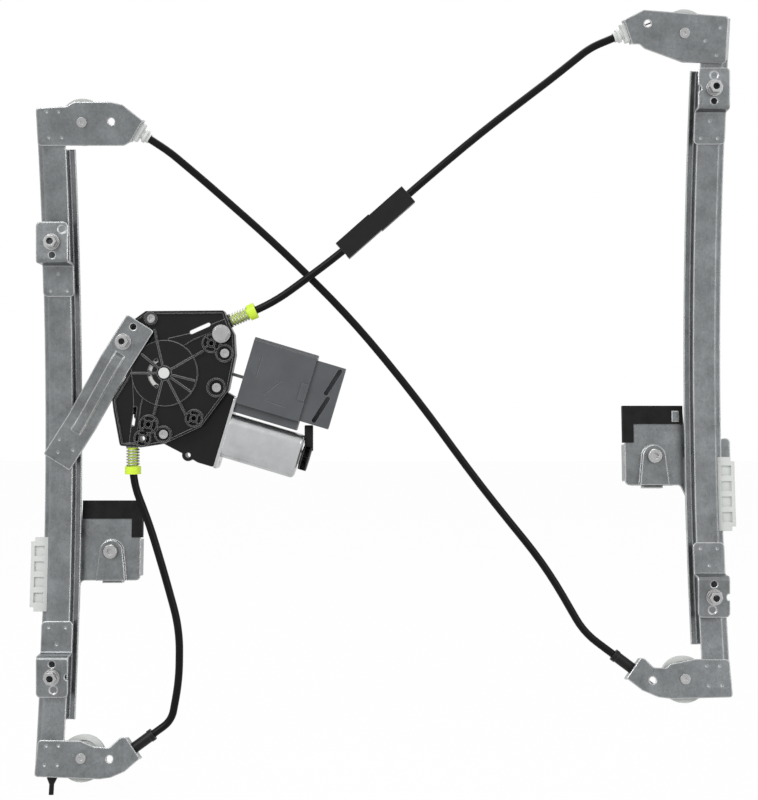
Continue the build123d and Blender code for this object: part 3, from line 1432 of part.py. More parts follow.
# Cables: on the rails and round the pulleys, and from the drum to the housing's exits
left_carrier, right_carrier = carriers
upper_left, lower_left, upper_right, lower_right = brackets
cables = (
    ("cross_cable", ((upper_left, left_carrier), (lower_right, right_carrier)), ()),
    ("upper_cable", ((upper_right, right_carrier),), ((upper_run, 1),)),
    ("lower_cable", ((lower_left, left_carrier),), ((lower_run, -1),)),
)
for name, rail_runs, drum_runs in cables:
    with BuildPart() as cable:
        for bracket, carrier in rail_runs:
            rail = bracket.rail
            place = pin_plane(bracket)
            with BuildSketch(section_plane(rail, bracket.pin_z)):
                with Locations((cable_offset, cable_depth)):
                    Circle(cable_diameter / 2)
            end_z = carrier.slider_z + bracket.way * cable_end_gap
            revolve(axis=bow_axis(rail), revolution_arc=swept_angle(rail, bracket.pin_z, end_z))
            with BuildSketch(section_plane(rail, bracket.pin_z)):
                with Locations((cable_offset, cable_depth)):
                    Circle(cable_diameter / 2)
            wrap_axis = Axis(place.origin, place.z_dir * -rail.hand * bracket.way)
            revolve(axis=wrap_axis, revolution_arc=90 + bracket.exit_angle)
            with BuildSketch(exit_plane(bracket)):
                Circle(cable_diameter / 2)
            extrude(amount=-bracket.exit_reach)
        for run, side in drum_runs:
            point = drum_plane(drum_cable_depth).to_local_coords(run.origin)
            reach = math.sqrt(point.X**2 + point.Y**2 - drum_cable_radius**2)
            with BuildSketch(run.offset(-conduit_seat - side_gap)):
                Circle(cable_diameter / 2)
            extrude(amount=conduit_seat + side_gap - reach)
            with BuildSketch(run.offset(-reach)):
                Circle(cable_diameter / 2)
            revolve(axis=Axis(drum_plane(0).origin, drum_plane(0).z_dir * side), revolution_arc=drum_wrap_angle)
    finish(cable, name)


# Conduits: straight runs joined by wide tangent arcs, between the housing's exits and the brackets
def end_of_line(bracket, length, last_run):
    """Two last points of a conduit: one on the line out of the cable end, and the cable end itself."""
    place = exit_plane(bracket, length)
    return [tuple(place.offset(last_run).origin), tuple(place.origin)]


upper_ends = end_of_line(upper_right, ferrule_length, upper_last_run)
lower_ends = end_of_line(lower_left, sleeve_length, lower_last_run)
cross_starts = end_of_line(upper_left, ferrule_length, cross_first_run)
cross_ends = end_of_line(lower_right, sleeve_length, cross_last_run)


def start_of_line(mouth, first_run):
    """Two first points of a conduit: its end in the housing's socket, and one on the socket's line."""
    return [tuple(mouth.offset(-conduit_seat).origin), tuple(mouth.offset(first_run - conduit_seat).origin)]


routes = {
    "upper_conduit": start_of_line(upper_mouth, upper_first_run) + list(upper_route) + upper_ends,
    "lower_conduit": start_of_line(lower_mouth, lower_first_run) + list(lower_route) + lower_ends,
    "cross_conduit": cross_starts[::-1] + list(cross_route) + cross_ends,
}
for name, points in routes.items():
    points = [Vector(*point) for point in points]
    runs = [after - before for before, after in zip(points, points[1:])]
    radii = []
    for before, after in zip(runs, runs[1:]):
        half_turn = math.radians(before.get_angle(after)) / 2
        radii.append(arc_share * min(before.length, after.length) / math.tan(half_turn))
    with BuildPart() as conduit:
        with BuildLine() as route:
            FilletPolyline(*points, radius=radii)
        with BuildSketch(Plane(origin=points[0], z_dir=runs[0])):
            Circle(conduit_radius)
        sweep()
    length = route.wires()[0].length
    section = math.pi * conduit_radius**2
    print(name, "length", round(length, 1), "volume share", round(conduit.part.volume / (section * length), 4))
    print("  runs", [round(run.length, 1) for run in runs], "radii", [round(radius) for radius in radii])
    print("  points", [tuple(round(value, 1) for value in point) for point in points])
    finish(conduit, name)

with BuildPart() as conduit_springs:
    for mouth in (upper_mouth, lower_mouth):
        foot = mouth.offset(spring_wire / 2 + running_gap)
        coil_radius = spring_radius - spring_wire / 2
        coil_height = spring_length - spring_wire - 2 * running_gap
        with BuildLine() as coil:
            Helix(coil_height / spring_turns, coil_height, coil_radius, center=foot.origin, direction=foot.z_dir)
        with BuildSketch(Plane(origin=coil.line @ 0, x_dir=coil.line @ 0 - foot.origin, z_dir=coil.line % 0)):
            RegularPolygon(spring_wire / 2, 6)
        sweep(is_frenet=True)
finish(conduit_springs, "conduit_springs")

with BuildPart() as conduit_caps:
    for mouth in (upper_mouth, lower_mouth):
        with BuildSketch(mouth):
            Circle(spring_radius - spring_wire - running_gap)
        extrude(amount=spring_length)
        with BuildSketch(mouth.offset(spring_length)):
            Circle(cap_radius)
        extrude(amount=cap_length)
        with BuildSketch(mouth):
            Circle(conduit_radius + running_gap)
        extrude(amount=spring_length, mode=Mode.SUBTRACT)
        with BuildSketch(mouth.offset(spring_length)):
            Circle(conduit_radius + cap_play)
        extrude(amount=cap_length, mode=Mode.SUBTRACT)
finish(conduit_caps, "conduit_caps")

clip_from, clip_to = (Vector(*point) for point in upper_route[:2])
clip_run = (clip_to - clip_from).normalized()
clip_plane = Plane(origin=(clip_from + clip_to) / 2, x_dir=clip_run, z_dir=clip_run.cross(Vector(0, -1, 0)).cross(clip_run) * -1)
with BuildPart() as conduit_clip:
    for side in (-1, 1):
        with BuildSketch(clip_plane.offset(clip_front)):
            with Locations((side * clip_length / 4, side * clip_shift)):
                Rectangle(clip_length / 2, clip_width)
        extrude(amount=-clip_thickness)
    with BuildSketch(clip_plane.offset(clip_front)):
        Rectangle(clip_length, 2 * (conduit_radius + clip_play))
    extrude(amount=-clip_front - conduit_radius - running_gap, mode=Mode.SUBTRACT)
finish(conduit_clip, "conduit_clip")
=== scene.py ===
"""Dresses the cable window regulator, and sets its floor, light and camera."""

import logging
import math
from dataclasses import dataclass, field
from enum import Enum

import bpy
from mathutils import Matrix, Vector


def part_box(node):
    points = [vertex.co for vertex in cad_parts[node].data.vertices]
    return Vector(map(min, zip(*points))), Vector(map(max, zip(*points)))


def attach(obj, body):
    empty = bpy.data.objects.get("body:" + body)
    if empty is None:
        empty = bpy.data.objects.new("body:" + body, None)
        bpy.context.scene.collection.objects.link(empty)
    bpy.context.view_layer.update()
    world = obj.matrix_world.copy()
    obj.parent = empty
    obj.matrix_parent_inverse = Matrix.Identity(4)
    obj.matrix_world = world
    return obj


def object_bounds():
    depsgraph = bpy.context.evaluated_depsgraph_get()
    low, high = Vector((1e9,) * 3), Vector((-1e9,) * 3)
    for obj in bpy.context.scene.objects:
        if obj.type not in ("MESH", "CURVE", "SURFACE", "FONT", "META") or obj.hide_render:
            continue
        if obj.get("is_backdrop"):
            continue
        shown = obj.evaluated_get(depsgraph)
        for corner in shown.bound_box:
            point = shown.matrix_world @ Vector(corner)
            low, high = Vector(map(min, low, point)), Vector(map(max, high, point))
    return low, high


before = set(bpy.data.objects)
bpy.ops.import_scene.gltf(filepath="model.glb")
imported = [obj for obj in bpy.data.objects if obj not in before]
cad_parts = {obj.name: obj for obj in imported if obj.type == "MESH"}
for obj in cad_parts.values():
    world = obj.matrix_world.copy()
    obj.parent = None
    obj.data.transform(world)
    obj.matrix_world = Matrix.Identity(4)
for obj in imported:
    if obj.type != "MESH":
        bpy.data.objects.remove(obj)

log = logging.getLogger("window_regulator")

PHOTO_WIDTH = 758
METRES_PER_PIXEL = 0.00088
CAMERA_DISTANCE = 1.1
CAMERA_ACROSS = 0.288
CAMERA_HEIGHT = 0.244

# Shading of edges and the mask of their painted highlight: samples, and the cosines at
# which an edge starts and is full
BEVEL_SAMPLES = 6
EDGE_START = 1.0
EDGE_FULL = 0.87

# Slow changes of tone and polish, in features to the metre
TONE_SCALE = 45.0
POLISH_SCALE = 130.0
CLOUD_DETAIL = 5.0
CLOUD_ROUGHNESS = 0.6
CLOUD_LOW = 0.3
CLOUD_HIGH = 0.7

# Moulded grain, and the relief and skin of every finish
GRAIN_DETAIL = 3.0
CELL_SHARE = 0.5
BUMP_STRENGTH = 0.6
COAT_ROUGHNESS = 0.12

# Zinc: rolling streaks beside the crystals, and the tones that both span
STREAK_SCALE = 1400.0
STREAK_STRETCH = (1.0, 1.0, 0.04)
STREAK_SHARE = 0.6
ZINC_TONES = (0.72, 1.25)

# Turning marks, strands and circuit tracks
TURNED_DETAIL = 4.0
STRAND_WAVER = 0.4
STRAND_TONES = (0.55, 1.1)
TRACK_GAP = 0.08
TRACK_TONES = (1.0, 0.85, 0.5)

Colour = tuple[float, float, float]


class Pattern(Enum):
    """The fine structure of a finish."""

    SPANGLED = "zinc crystals"
    MOULDED = "moulded grain"
    TURNED = "turning marks"
    STRANDED = "laid strands"
    PRINTED = "circuit tracks"


class GroupShelf:
    """Builds each shared shader node group once and hands it out by name."""

    def __init__(self) -> None:
        """Starts with no group built."""
        self.built: dict[str, bpy.types.ShaderNodeTree] = {}

    def _new(
        self, name: str, inputs: dict[str, tuple[str, float]], outputs: dict[str, str]
    ) -> tuple[bpy.types.ShaderNodeTree, bpy.types.Node, bpy.types.Node]:
        """Makes an empty group with its sockets.

        Args:
            name: The group's name.
            inputs: Socket name to its short type and default.
            outputs: Socket name to its short type.

        Returns:
            The group, its input node and its output node.
        """
        group = bpy.data.node_groups.new(name, "ShaderNodeTree")
        for label, (kind, default) in inputs.items():
            socket = group.interface.new_socket(
                label, in_out="INPUT", socket_type=f"NodeSocket{kind}"
            )
            if kind == "Float":
                socket.default_value = default
        for label, kind in outputs.items():
            group.interface.new_socket(
                label, in_out="OUTPUT", socket_type=f"NodeSocket{kind}"
            )
        entry = group.nodes.new("NodeGroupInput")
        leave = group.nodes.new("NodeGroupOutput")
        return group, entry, leave

    def softened_edges(self) -> bpy.types.ShaderNodeTree:
        """Builds the group that rounds edges in the shading and masks them for the painted
        edge highlight.

        Returns:
            The group.
        """
        name = "softened edges"
        if name in self.built:
            return self.built[name]
        group, entry, leave = self._new(
            name,
            {"Radius": ("Float", 0.0004), "Width": ("Float", 0.25)},
            {"Normal": "Vector", "Edge": "Float"},
        )
        bevel = group.nodes.new("ShaderNodeBevel")
        bevel.samples = BEVEL_SAMPLES
        group.links.new(entry.outputs["Radius"], bevel.inputs["Radius"])
        flat = group.nodes.new("ShaderNodeNewGeometry")
        turn = group.nodes.new("ShaderNodeVectorMath")
        turn.operation = "DOT_PRODUCT"
        group.links.new(bevel.outputs["Normal"], turn.inputs[0])
        group.links.new(flat.outputs["Normal"], turn.inputs[1])
        rate = group.nodes.new("ShaderNodeMapRange")
        rate.inputs["From Min"].default_value = EDGE_START
        rate.inputs["From Max"].default_value = EDGE_FULL
        group.links.new(turn.outputs["Value"], rate.inputs["Value"])
        share = group.nodes.new("ShaderNodeMath")
        share.operation = "MULTIPLY"
        share.use_clamp = True
        group.links.new(rate.outputs["Result"], share.inputs[0])
        group.links.new(entry.outputs["Width"], share.inputs[1])
        group.links.new(bevel.outputs["Normal"], leave.inputs["Normal"])
        group.links.new(share.outputs["Value"], leave.inputs["Edge"])
        self.built[name] = group
        return group

    def cloudy_tone(self) -> bpy.types.ShaderNodeTree:
        """Builds the group that varies a value slowly over the surface.

        Returns:
            The group.
        """
        name = "cloudy tone"
        if name in self.built:
            return self.built[name]
        group, entry, leave = self._new(
            name,
            {
                "Vector": ("Vector", 0.0),
                "Scale": ("Float", 40.0),
                "Low": ("Float", 0.9),
                "High": ("Float", 1.1),
            },
            {"Value": "Float"},
        )
        noise = group.nodes.new("ShaderNodeTexNoise")
        noise.inputs["Detail"].default_value = CLOUD_DETAIL
        noise.inputs["Roughness"].default_value = CLOUD_ROUGHNESS
        group.links.new(entry.outputs["Vector"], noise.inputs["Vector"])
        group.links.new(entry.outputs["Scale"], noise.inputs["Scale"])
        spread = group.nodes.new("ShaderNodeMapRange")
        spread.inputs["From Min"].default_value = CLOUD_LOW
        spread.inputs["From Max"].default_value = CLOUD_HIGH
        group.links.new(noise.outputs["Fac"], spread.inputs["Value"])
        group.links.new(entry.outputs["Low"], spread.inputs["To Min"])
        group.links.new(entry.outputs["High"], spread.inputs["To Max"])
        group.links.new(spread.outputs["Result"], leave.inputs["Value"])
        self.built[name] = group
        return group

    def fine_grain(self) -> bpy.types.ShaderNodeTree:
        """Builds the group that gives the height of a fine moulded grain.

        Returns:
            The group.
        """
        name = "fine grain"
        if name in self.built:
            return self.built[name]
        group, entry, leave = self._new(
            name,
            {"Vector": ("Vector", 0.0), "Scale": ("Float", 1500.0)},
            {"Height": "Float"},
        )
        noise = group.nodes.new("ShaderNodeTexNoise")
        noise.inputs["Detail"].default_value = GRAIN_DETAIL
        cells = group.nodes.new("ShaderNodeTexVoronoi")
        cells.feature = "F1"
        blend = group.nodes.new("ShaderNodeMath")
        blend.operation = "MULTIPLY_ADD"
        blend.inputs[1].default_value = CELL_SHARE
        for texture in (noise, cells):
            group.links.new(entry.outputs["Vector"], texture.inputs["Vector"])
            group.links.new(entry.outputs["Scale"], texture.inputs["Scale"])
        group.links.new(cells.outputs["Distance"], blend.inputs[0])
        group.links.new(noise.outputs["Fac"], blend.inputs[2])
        group.links.new(blend.outputs["Value"], leave.inputs["Height"])
        self.built[name] = group
        return group

    def zinc_crystals(self) -> bpy.types.ShaderNodeTree:
        """Builds the group of the zinc's crystals and rolling marks.

        Returns:
            The group.
        """
        name = "zinc crystals"
        if name in self.built:
            return self.built[name]
        group, entry, leave = self._new(
            name,
            {"Vector": ("Vector", 0.0), "Scale": ("Float", 420.0)},
            {"Tone": "Float", "Height": "Float"},
        )
        cells = group.nodes.new("ShaderNodeTexVoronoi")
        cells.feature = "F1"
        group.links.new(entry.outputs["Vector"], cells.inputs["Vector"])
        group.links.new(entry.outputs["Scale"], cells.inputs["Scale"])
        grey = group.nodes.new("ShaderNodeRGBToBW")
        group.links.new(cells.outputs["Color"], grey.inputs["Color"])
        stretch = group.nodes.new("ShaderNodeMapping")
        stretch.inputs["Scale"].default_value = STREAK_STRETCH
        group.links.new(entry.outputs["Vector"], stretch.inputs["Vector"])
        lines = group.nodes.new("ShaderNodeTexNoise")
        lines.inputs["Scale"].default_value = STREAK_SCALE
        group.links.new(stretch.outputs["Vector"], lines.inputs["Vector"])
        group.links.new(lines.outputs["Fac"], leave.inputs["Height"])
        join = group.nodes.new("ShaderNodeMix")
        join.data_type = "FLOAT"
        join.inputs[0].default_value = STREAK_SHARE
        group.links.new(grey.outputs["Val"], join.inputs[2])
        group.links.new(lines.outputs["Fac"], join.inputs[3])
        group.links.new(join.outputs[0], leave.inputs["Tone"])
        self.built[name] = group
        return group


SHELF = GroupShelf()


@dataclass(frozen=True)
class Finish:
    """One surface finish of the regulator.

    Attributes:
        name: The material's name.
        slot: The name of a material slot; not used.
        colour: The colour as linear red, green and blue.
        pattern: The fine structure.
        metallic: 1 for bare metal, 0 for plastic and rubber.
        roughness: The mean roughness.
        spread: How far the roughness and the tone vary.
        grain: Grain features to the metre.
        relief: The grain's height in metres.
        edge_radius: How far edges are rounded in the shading, in metres.
        edge_highlight: How much lighter the painted highlight on edges makes them than the
            faces.
        coat: The weight of a glossy skin.
        gloss: The level of the plain reflection.
    """

    name: str
    slot: str
    colour: Colour
    pattern: Pattern = Pattern.MOULDED
    metallic: float = 0.0
    roughness: float = 0.4
    spread: float = 0.12
    grain: float = 1500.0
    relief: float = 0.00004
    edge_radius: float = 0.0005
    # Painted highlight: how much lighter edges are coloured, standing in for light caught
    # on them
    edge_highlight: float = 0.25
    coat: float = 0.0
    gloss: float = 0.5

    def build(self) -> bpy.types.Material:
        """Makes the material, or finds the one that is there already.

        Returns:
            The material.
        """
        if self.name in bpy.data.materials:
            return bpy.data.materials[self.name]
        material = bpy.data.materials.new(self.name)
        material.use_nodes = True
        tree = material.node_tree
        shader = tree.nodes["Principled BSDF"]
        place = tree.nodes.new("ShaderNodeTexCoord").outputs["Object"]
        edges = self._group(tree, SHELF.softened_edges(), None)
        edges.inputs["Radius"].default_value = self.edge_radius
        edges.inputs["Width"].default_value = 1.0
        height, tone = self._structure(tree, place)
        self._tint(tree, place, edges, tone)
        self._polish(tree, place)
        self._emboss(tree, edges, height)
        shader.inputs["Metallic"].default_value = self.metallic
        shader.inputs["Specular IOR Level"].default_value = self.gloss
        shader.inputs["Coat Weight"].default_value = self.coat
        shader.inputs["Coat Roughness"].default_value = COAT_ROUGHNESS
        return material

    def _tint(
        self,
        tree: bpy.types.ShaderNodeTree,
        place: bpy.types.NodeSocket,
        edges: bpy.types.Node,
        tone: bpy.types.NodeSocket | None,
    ) -> None:
        """Colours the finish, with its clouds, its structure and a painted highlight on
        its edges.

        Args:
            tree: The material's tree.
            place: The coordinates.
            edges: The edge group's node.
            tone: The structure's tone, if it has one.
        """
        cloud = self._group(tree, SHELF.cloudy_tone(), place)
        cloud.inputs["Scale"].default_value = TONE_SCALE
        cloud.inputs["Low"].default_value = 1.0 - self.spread
        cloud.inputs["High"].default_value = 1.0 + self.spread
        shade = self._scaled(tree, self.colour, cloud.outputs["Value"])
        if tone is not None:
            shade = self._multiplied(tree, shade, tone)
        # Painted highlight: edges are lightened in the base colour, standing in for light
        # caught on them
        light = tuple(min(1.0, part + self.edge_highlight) for part in self.colour)
        shade = self._paint_edge_highlight(tree, shade, light, edges.outputs["Edge"])
        tree.links.new(shade, tree.nodes["Principled BSDF"].inputs["Base Color"])

    def _polish(
        self, tree: bpy.types.ShaderNodeTree, place: bpy.types.NodeSocket
    ) -> None:
        """Varies the roughness over the surface.

        Args:
            tree: The material's tree.
            place: The coordinates.
        """
        polish = self._group(tree, SHELF.cloudy_tone(), place)
        polish.inputs["Scale"].default_value = POLISH_SCALE
        polish.inputs["Low"].default_value = self.roughness * (1.0 - self.spread)
        polish.inputs["High"].default_value = self.roughness * (1.0 + self.spread)
        shader = tree.nodes["Principled BSDF"]
        tree.links.new(polish.outputs["Value"], shader.inputs["Roughness"])

    def _emboss(
        self,
        tree: bpy.types.ShaderNodeTree,
        edges: bpy.types.Node,
        height: bpy.types.NodeSocket,
    ) -> None:
        """Puts the fine relief on the softened normals.

        Args:
            tree: The material's tree.
            edges: The edge group's node.
            height: The structure's height.
        """
        bump = tree.nodes.new("ShaderNodeBump")
        bump.inputs["Strength"].default_value = BUMP_STRENGTH
        bump.inputs["Distance"].default_value = self.relief
        tree.links.new(height, bump.inputs["Height"])
        tree.links.new(edges.outputs["Normal"], bump.inputs["Normal"])
        shader = tree.nodes["Principled BSDF"]
        tree.links.new(bump.outputs["Normal"], shader.inputs["Normal"])

    def _group(
        self,
        tree: bpy.types.ShaderNodeTree,
        group: bpy.types.ShaderNodeTree,
        place: bpy.types.NodeSocket | None,
    ) -> bpy.types.Node:
        """Puts a shared group in the material and links its place.

        Args:
            tree: The material's tree.
            group: The shared group.
            place: The coordinates, if the group reads them.

        Returns:
            The group's node.
        """
        node = tree.nodes.new("ShaderNodeGroup")
        node.node_tree = group
        if place is not None:
            tree.links.new(place, node.inputs["Vector"])
        return node

    def _scaled(
        self,
        tree: bpy.types.ShaderNodeTree,
        colour: Colour,
        amount: bpy.types.NodeSocket,
    ) -> bpy.types.NodeSocket:
        """Multiplies a colour by a value that varies over the surface.

        Args:
            tree: The material's tree.
            colour: The colour.
            amount: The value.

        Returns:
            The socket of the scaled colour.
        """
        node = tree.nodes.new("ShaderNodeVectorMath")
        node.operation = "SCALE"
        node.inputs[0].default_value = colour
        tree.links.new(amount, node.inputs["Scale"])
        return node.outputs["Vector"]

    def _multiplied(
        self,
        tree: bpy.types.ShaderNodeTree,
        first: bpy.types.NodeSocket,
        second: bpy.types.NodeSocket,
    ) -> bpy.types.NodeSocket:
        """Multiplies two colours.

        Args:
            tree: The material's tree.
            first: The first colour.
            second: The second colour.

        Returns:
            The product's socket.
        """
        node = tree.nodes.new("ShaderNodeMix")
        node.data_type = "RGBA"
        node.blend_type = "MULTIPLY"
        node.inputs[0].default_value = 1.0
        tree.links.new(first, node.inputs[6])
        tree.links.new(second, node.inputs[7])
        return node.outputs[2]

    def _paint_edge_highlight(
        self,
        tree: bpy.types.ShaderNodeTree,
        shade: bpy.types.NodeSocket,
        light: Colour,
        mask: bpy.types.NodeSocket,
    ) -> bpy.types.NodeSocket:
        """Paints a highlight into a colour where the edge mask is set.

        Args:
            tree: The material's tree.
            shade: The faces' colour.
            light: The colour of the painted edge highlight.
            mask: The edge mask.

        Returns:
            The socket of the colour with its painted edge highlight.
        """
        node = tree.nodes.new("ShaderNodeMix")
        node.data_type = "RGBA"
        tree.links.new(mask, node.inputs[0])
        tree.links.new(shade, node.inputs[6])
        node.inputs[7].default_value = (*light, 1.0)
        return node.outputs[2]

    def _structure(
        self, tree: bpy.types.ShaderNodeTree, place: bpy.types.NodeSocket
    ) -> tuple[bpy.types.NodeSocket, bpy.types.NodeSocket | None]:
        """Makes the finish's fine structure.

        Args:
            tree: The material's tree.
            place: The coordinates.

        Returns:
            The height's socket, and the tone's socket or None.
        """
        if self.pattern is Pattern.SPANGLED:
            zinc = self._group(tree, SHELF.zinc_crystals(), place)
            zinc.inputs["Scale"].default_value = self.grain
            tone = self._ranged(tree, zinc.outputs["Tone"], ZINC_TONES)
            return zinc.outputs["Height"], tone
        if self.pattern is Pattern.TURNED:
            rings = tree.nodes.new("ShaderNodeTexNoise")
            rings.inputs["Scale"].default_value = self.grain
            rings.inputs["Detail"].default_value = TURNED_DETAIL
            tree.links.new(place, rings.inputs["Vector"])
            return rings.outputs["Fac"], None
        if self.pattern is Pattern.STRANDED:
            strands = tree.nodes.new("ShaderNodeTexWave")
            strands.bands_direction = "DIAGONAL"
            strands.inputs["Scale"].default_value = self.grain
            strands.inputs["Distortion"].default_value = STRAND_WAVER
            tree.links.new(place, strands.inputs["Vector"])
            tone = self._ranged(tree, strands.outputs["Fac"], STRAND_TONES)
            return strands.outputs["Fac"], tone
        if self.pattern is Pattern.PRINTED:
            tracks = tree.nodes.new("ShaderNodeTexBrick")
            tracks.inputs["Scale"].default_value = self.grain
            tracks.inputs["Mortar Size"].default_value = TRACK_GAP
            for name, grey in zip(("Color1", "Color2", "Mortar"), TRACK_TONES):
                tracks.inputs[name].default_value = (grey, grey, grey, 1.0)
            tree.links.new(place, tracks.inputs["Vector"])
            return tracks.outputs["Fac"], tracks.outputs["Color"]
        grain = self._group(tree, SHELF.fine_grain(), place)
        grain.inputs["Scale"].default_value = self.grain
        return grain.outputs["Height"], None

    def _ranged(
        self,
        tree: bpy.types.ShaderNodeTree,
        value: bpy.types.NodeSocket,
        tones: tuple[float, float],
    ) -> bpy.types.NodeSocket:
        """Spreads a value from 0 to 1 over a range of tones.

        Args:
            tree: The material's tree.
            value: The value.
            tones: The darkest and the lightest tone.

        Returns:
            The tone's socket.
        """
        spread = tree.nodes.new("ShaderNodeMapRange")
        spread.inputs["To Min"].default_value = tones[0]
        spread.inputs["To Max"].default_value = tones[1]
        tree.links.new(value, spread.inputs["Value"])
        return spread.outputs["Result"]


GALVANISED = Finish(
    "galvanised steel", "zinc_steel", (0.19, 0.2, 0.205), Pattern.SPANGLED,
    metallic=0.85, roughness=0.3, spread=0.22, grain=520.0, relief=0.00002,
    edge_radius=0.0018, edge_highlight=0.55,
)
BRIGHT_STEEL = Finish(
    "bright steel", "bright_steel", (0.4, 0.4, 0.4), Pattern.TURNED,
    metallic=1.0, roughness=0.26, spread=0.1, grain=900.0, relief=0.000015,
    edge_radius=0.0004, edge_highlight=0.3,
)
MOTOR_STEEL = Finish(
    "drawn motor steel", "motor_steel", (0.47, 0.475, 0.48), Pattern.TURNED,
    metallic=0.95, roughness=0.3, spread=0.12, grain=260.0, relief=0.00002,
    edge_radius=0.0008, edge_highlight=0.3,
)
SPRING_STEEL = Finish(
    "spring steel", "spring_steel", (0.38, 0.38, 0.36), Pattern.TURNED,
    metallic=1.0, roughness=0.3, grain=1200.0, relief=0.00001, edge_radius=0.0002,
)
CABLE_STEEL = Finish(
    "laid cable", "cable_steel", (0.42, 0.42, 0.41), Pattern.STRANDED,
    metallic=0.9, roughness=0.35, grain=260.0, relief=0.00015, edge_radius=0.0002,
    edge_highlight=0.0,
)
ZINC_ALLOY = Finish(
    "cast zinc", "zinc_alloy", (0.5, 0.5, 0.5), Pattern.TURNED,
    metallic=0.9, roughness=0.42, grain=700.0, relief=0.00002,
)
WHITE_PLASTIC = Finish(
    "natural white plastic", "white_plastic", (0.62, 0.64, 0.62),
    roughness=0.38, spread=0.05, grain=1400.0, relief=0.00001,
    edge_radius=0.0005, edge_highlight=0.1,
)
BLACK_PLASTIC = Finish(
    "black plastic", "black_plastic", (0.005, 0.005, 0.0055),
    roughness=0.4, spread=0.15, edge_highlight=0.1, gloss=0.22,
)
HOUSING_PLASTIC = Finish(
    "glass-filled black plastic", "housing_plastic", (0.005, 0.005, 0.0056),
    roughness=0.33, spread=0.18, grain=1700.0, relief=0.00003,
    edge_radius=0.0009, edge_highlight=0.3, coat=0.12, gloss=0.15,
)
MODULE_PLASTIC = Finish(
    "module plastic", "module_plastic", (0.078, 0.083, 0.089),
    roughness=0.42, spread=0.12, grain=1500.0, relief=0.00003,
    edge_radius=0.0006, edge_highlight=0.12, gloss=0.35,
)
DRUM_PLASTIC = Finish(
    "drum plastic", "drum_plastic", (0.72, 0.72, 0.69),
    roughness=0.42, spread=0.06, edge_highlight=0.1,
)
BLACK_RUBBER = Finish(
    "black rubber", "black_rubber", (0.005, 0.005, 0.005),
    roughness=0.68, spread=0.15, grain=2200.0, relief=0.00005, edge_highlight=0.06, gloss=0.2,
)
CONDUIT_BLACK = Finish(
    "conduit sheath", "conduit_black", (0.003, 0.003, 0.0032),
    roughness=0.34, spread=0.1, grain=2600.0, relief=0.000004,
    edge_radius=0.0002, edge_highlight=0.0, gloss=0.13,
)
YELLOW_PLASTIC = Finish(
    "yellow plastic", "yellow_plastic", (0.62, 0.84, 0.04),
    roughness=0.4, spread=0.08, edge_highlight=0.15,
)
MAGNET = Finish(
    "ferrite magnet", "magnet", (0.06, 0.06, 0.062),
    roughness=0.6, spread=0.15, grain=1200.0,
)
COPPER = Finish(
    "wound copper", "armature_copper", (0.72, 0.36, 0.2), Pattern.STRANDED,
    metallic=0.95, roughness=0.32, grain=180.0, relief=0.0001, edge_highlight=0.1,
)
BOARD_GREEN = Finish(
    "circuit board", "board_green", (0.03, 0.16, 0.07), Pattern.PRINTED,
    roughness=0.45, grain=160.0, relief=0.00003, edge_highlight=0.1,
)


@dataclass
class SubAssembly:
    """A named group of pieces and the finish of each.

    Attributes:
        title: What the group is.
        finishes: The finish of each CAD node.
    """

    title: str
    finishes: dict[str, Finish] = field(default_factory=dict)

    def dress(self) -> None:
        """Gives each piece its finish."""
        for node, finish in self.finishes.items():
            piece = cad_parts[node]
            material = finish.build()
            if not piece.data.materials:
                piece.data.materials.append(material)
            for index in range(len(piece.data.materials)):
                piece.data.materials[index] = material
            log.info("%s: %s in %s", self.title, node, finish.name)


CORNERS = ("upper_left", "lower_left", "upper_right", "lower_right")
SIDES = ("left", "right")


@dataclass
class Rails(SubAssembly):
    """The two bowed rails, their end brackets and fixing plates."""

    title: str = "rails"

    def __post_init__(self) -> None:
        """Lists the rails, brackets, plates and fixings."""
        for side in SIDES:
            self.finishes[f"{side}_rail"] = GALVANISED
        for corner in CORNERS:
            self.finishes[f"{corner}_bracket"] = GALVANISED
            self.finishes[f"{corner}_fixing_plate"] = GALVANISED
        self.finishes["motor_strap"] = GALVANISED
        self.finishes["flange_nuts"] = BRIGHT_STEEL
        self.finishes["rail_end_peg"] = BLACK_RUBBER


@dataclass
class Pulleys(SubAssembly):
    """The pulleys that turn the cable, and their pins and ferrules."""

    title: str = "pulleys"

    def __post_init__(self) -> None:
        """Lists the pulleys, pins, ferrules and sleeves."""
        for corner in CORNERS:
            self.finishes[f"{corner}_pulley"] = WHITE_PLASTIC
        self.finishes["pulley_pins"] = BRIGHT_STEEL
        self.finishes["cable_ferrules"] = WHITE_PLASTIC
        self.finishes["cable_sleeves"] = BLACK_PLASTIC


@dataclass
class Carriers(SubAssembly):
    """The two carriers that clamp the glass."""

    title: str = "carriers"

    def __post_init__(self) -> None:
        """Lists each carrier's slider, plates, rubber, nipples and bolt."""
        for side in SIDES:
            self.finishes[f"{side}_slider"] = WHITE_PLASTIC
            self.finishes[f"{side}_cable_nipples"] = ZINC_ALLOY
            self.finishes[f"{side}_carrier_plate"] = GALVANISED
            self.finishes[f"{side}_clamp_jaw"] = GALVANISED
            self.finishes[f"{side}_clamp_rubber"] = BLACK_RUBBER
            self.finishes[f"{side}_clamp_bolt"] = BRIGHT_STEEL


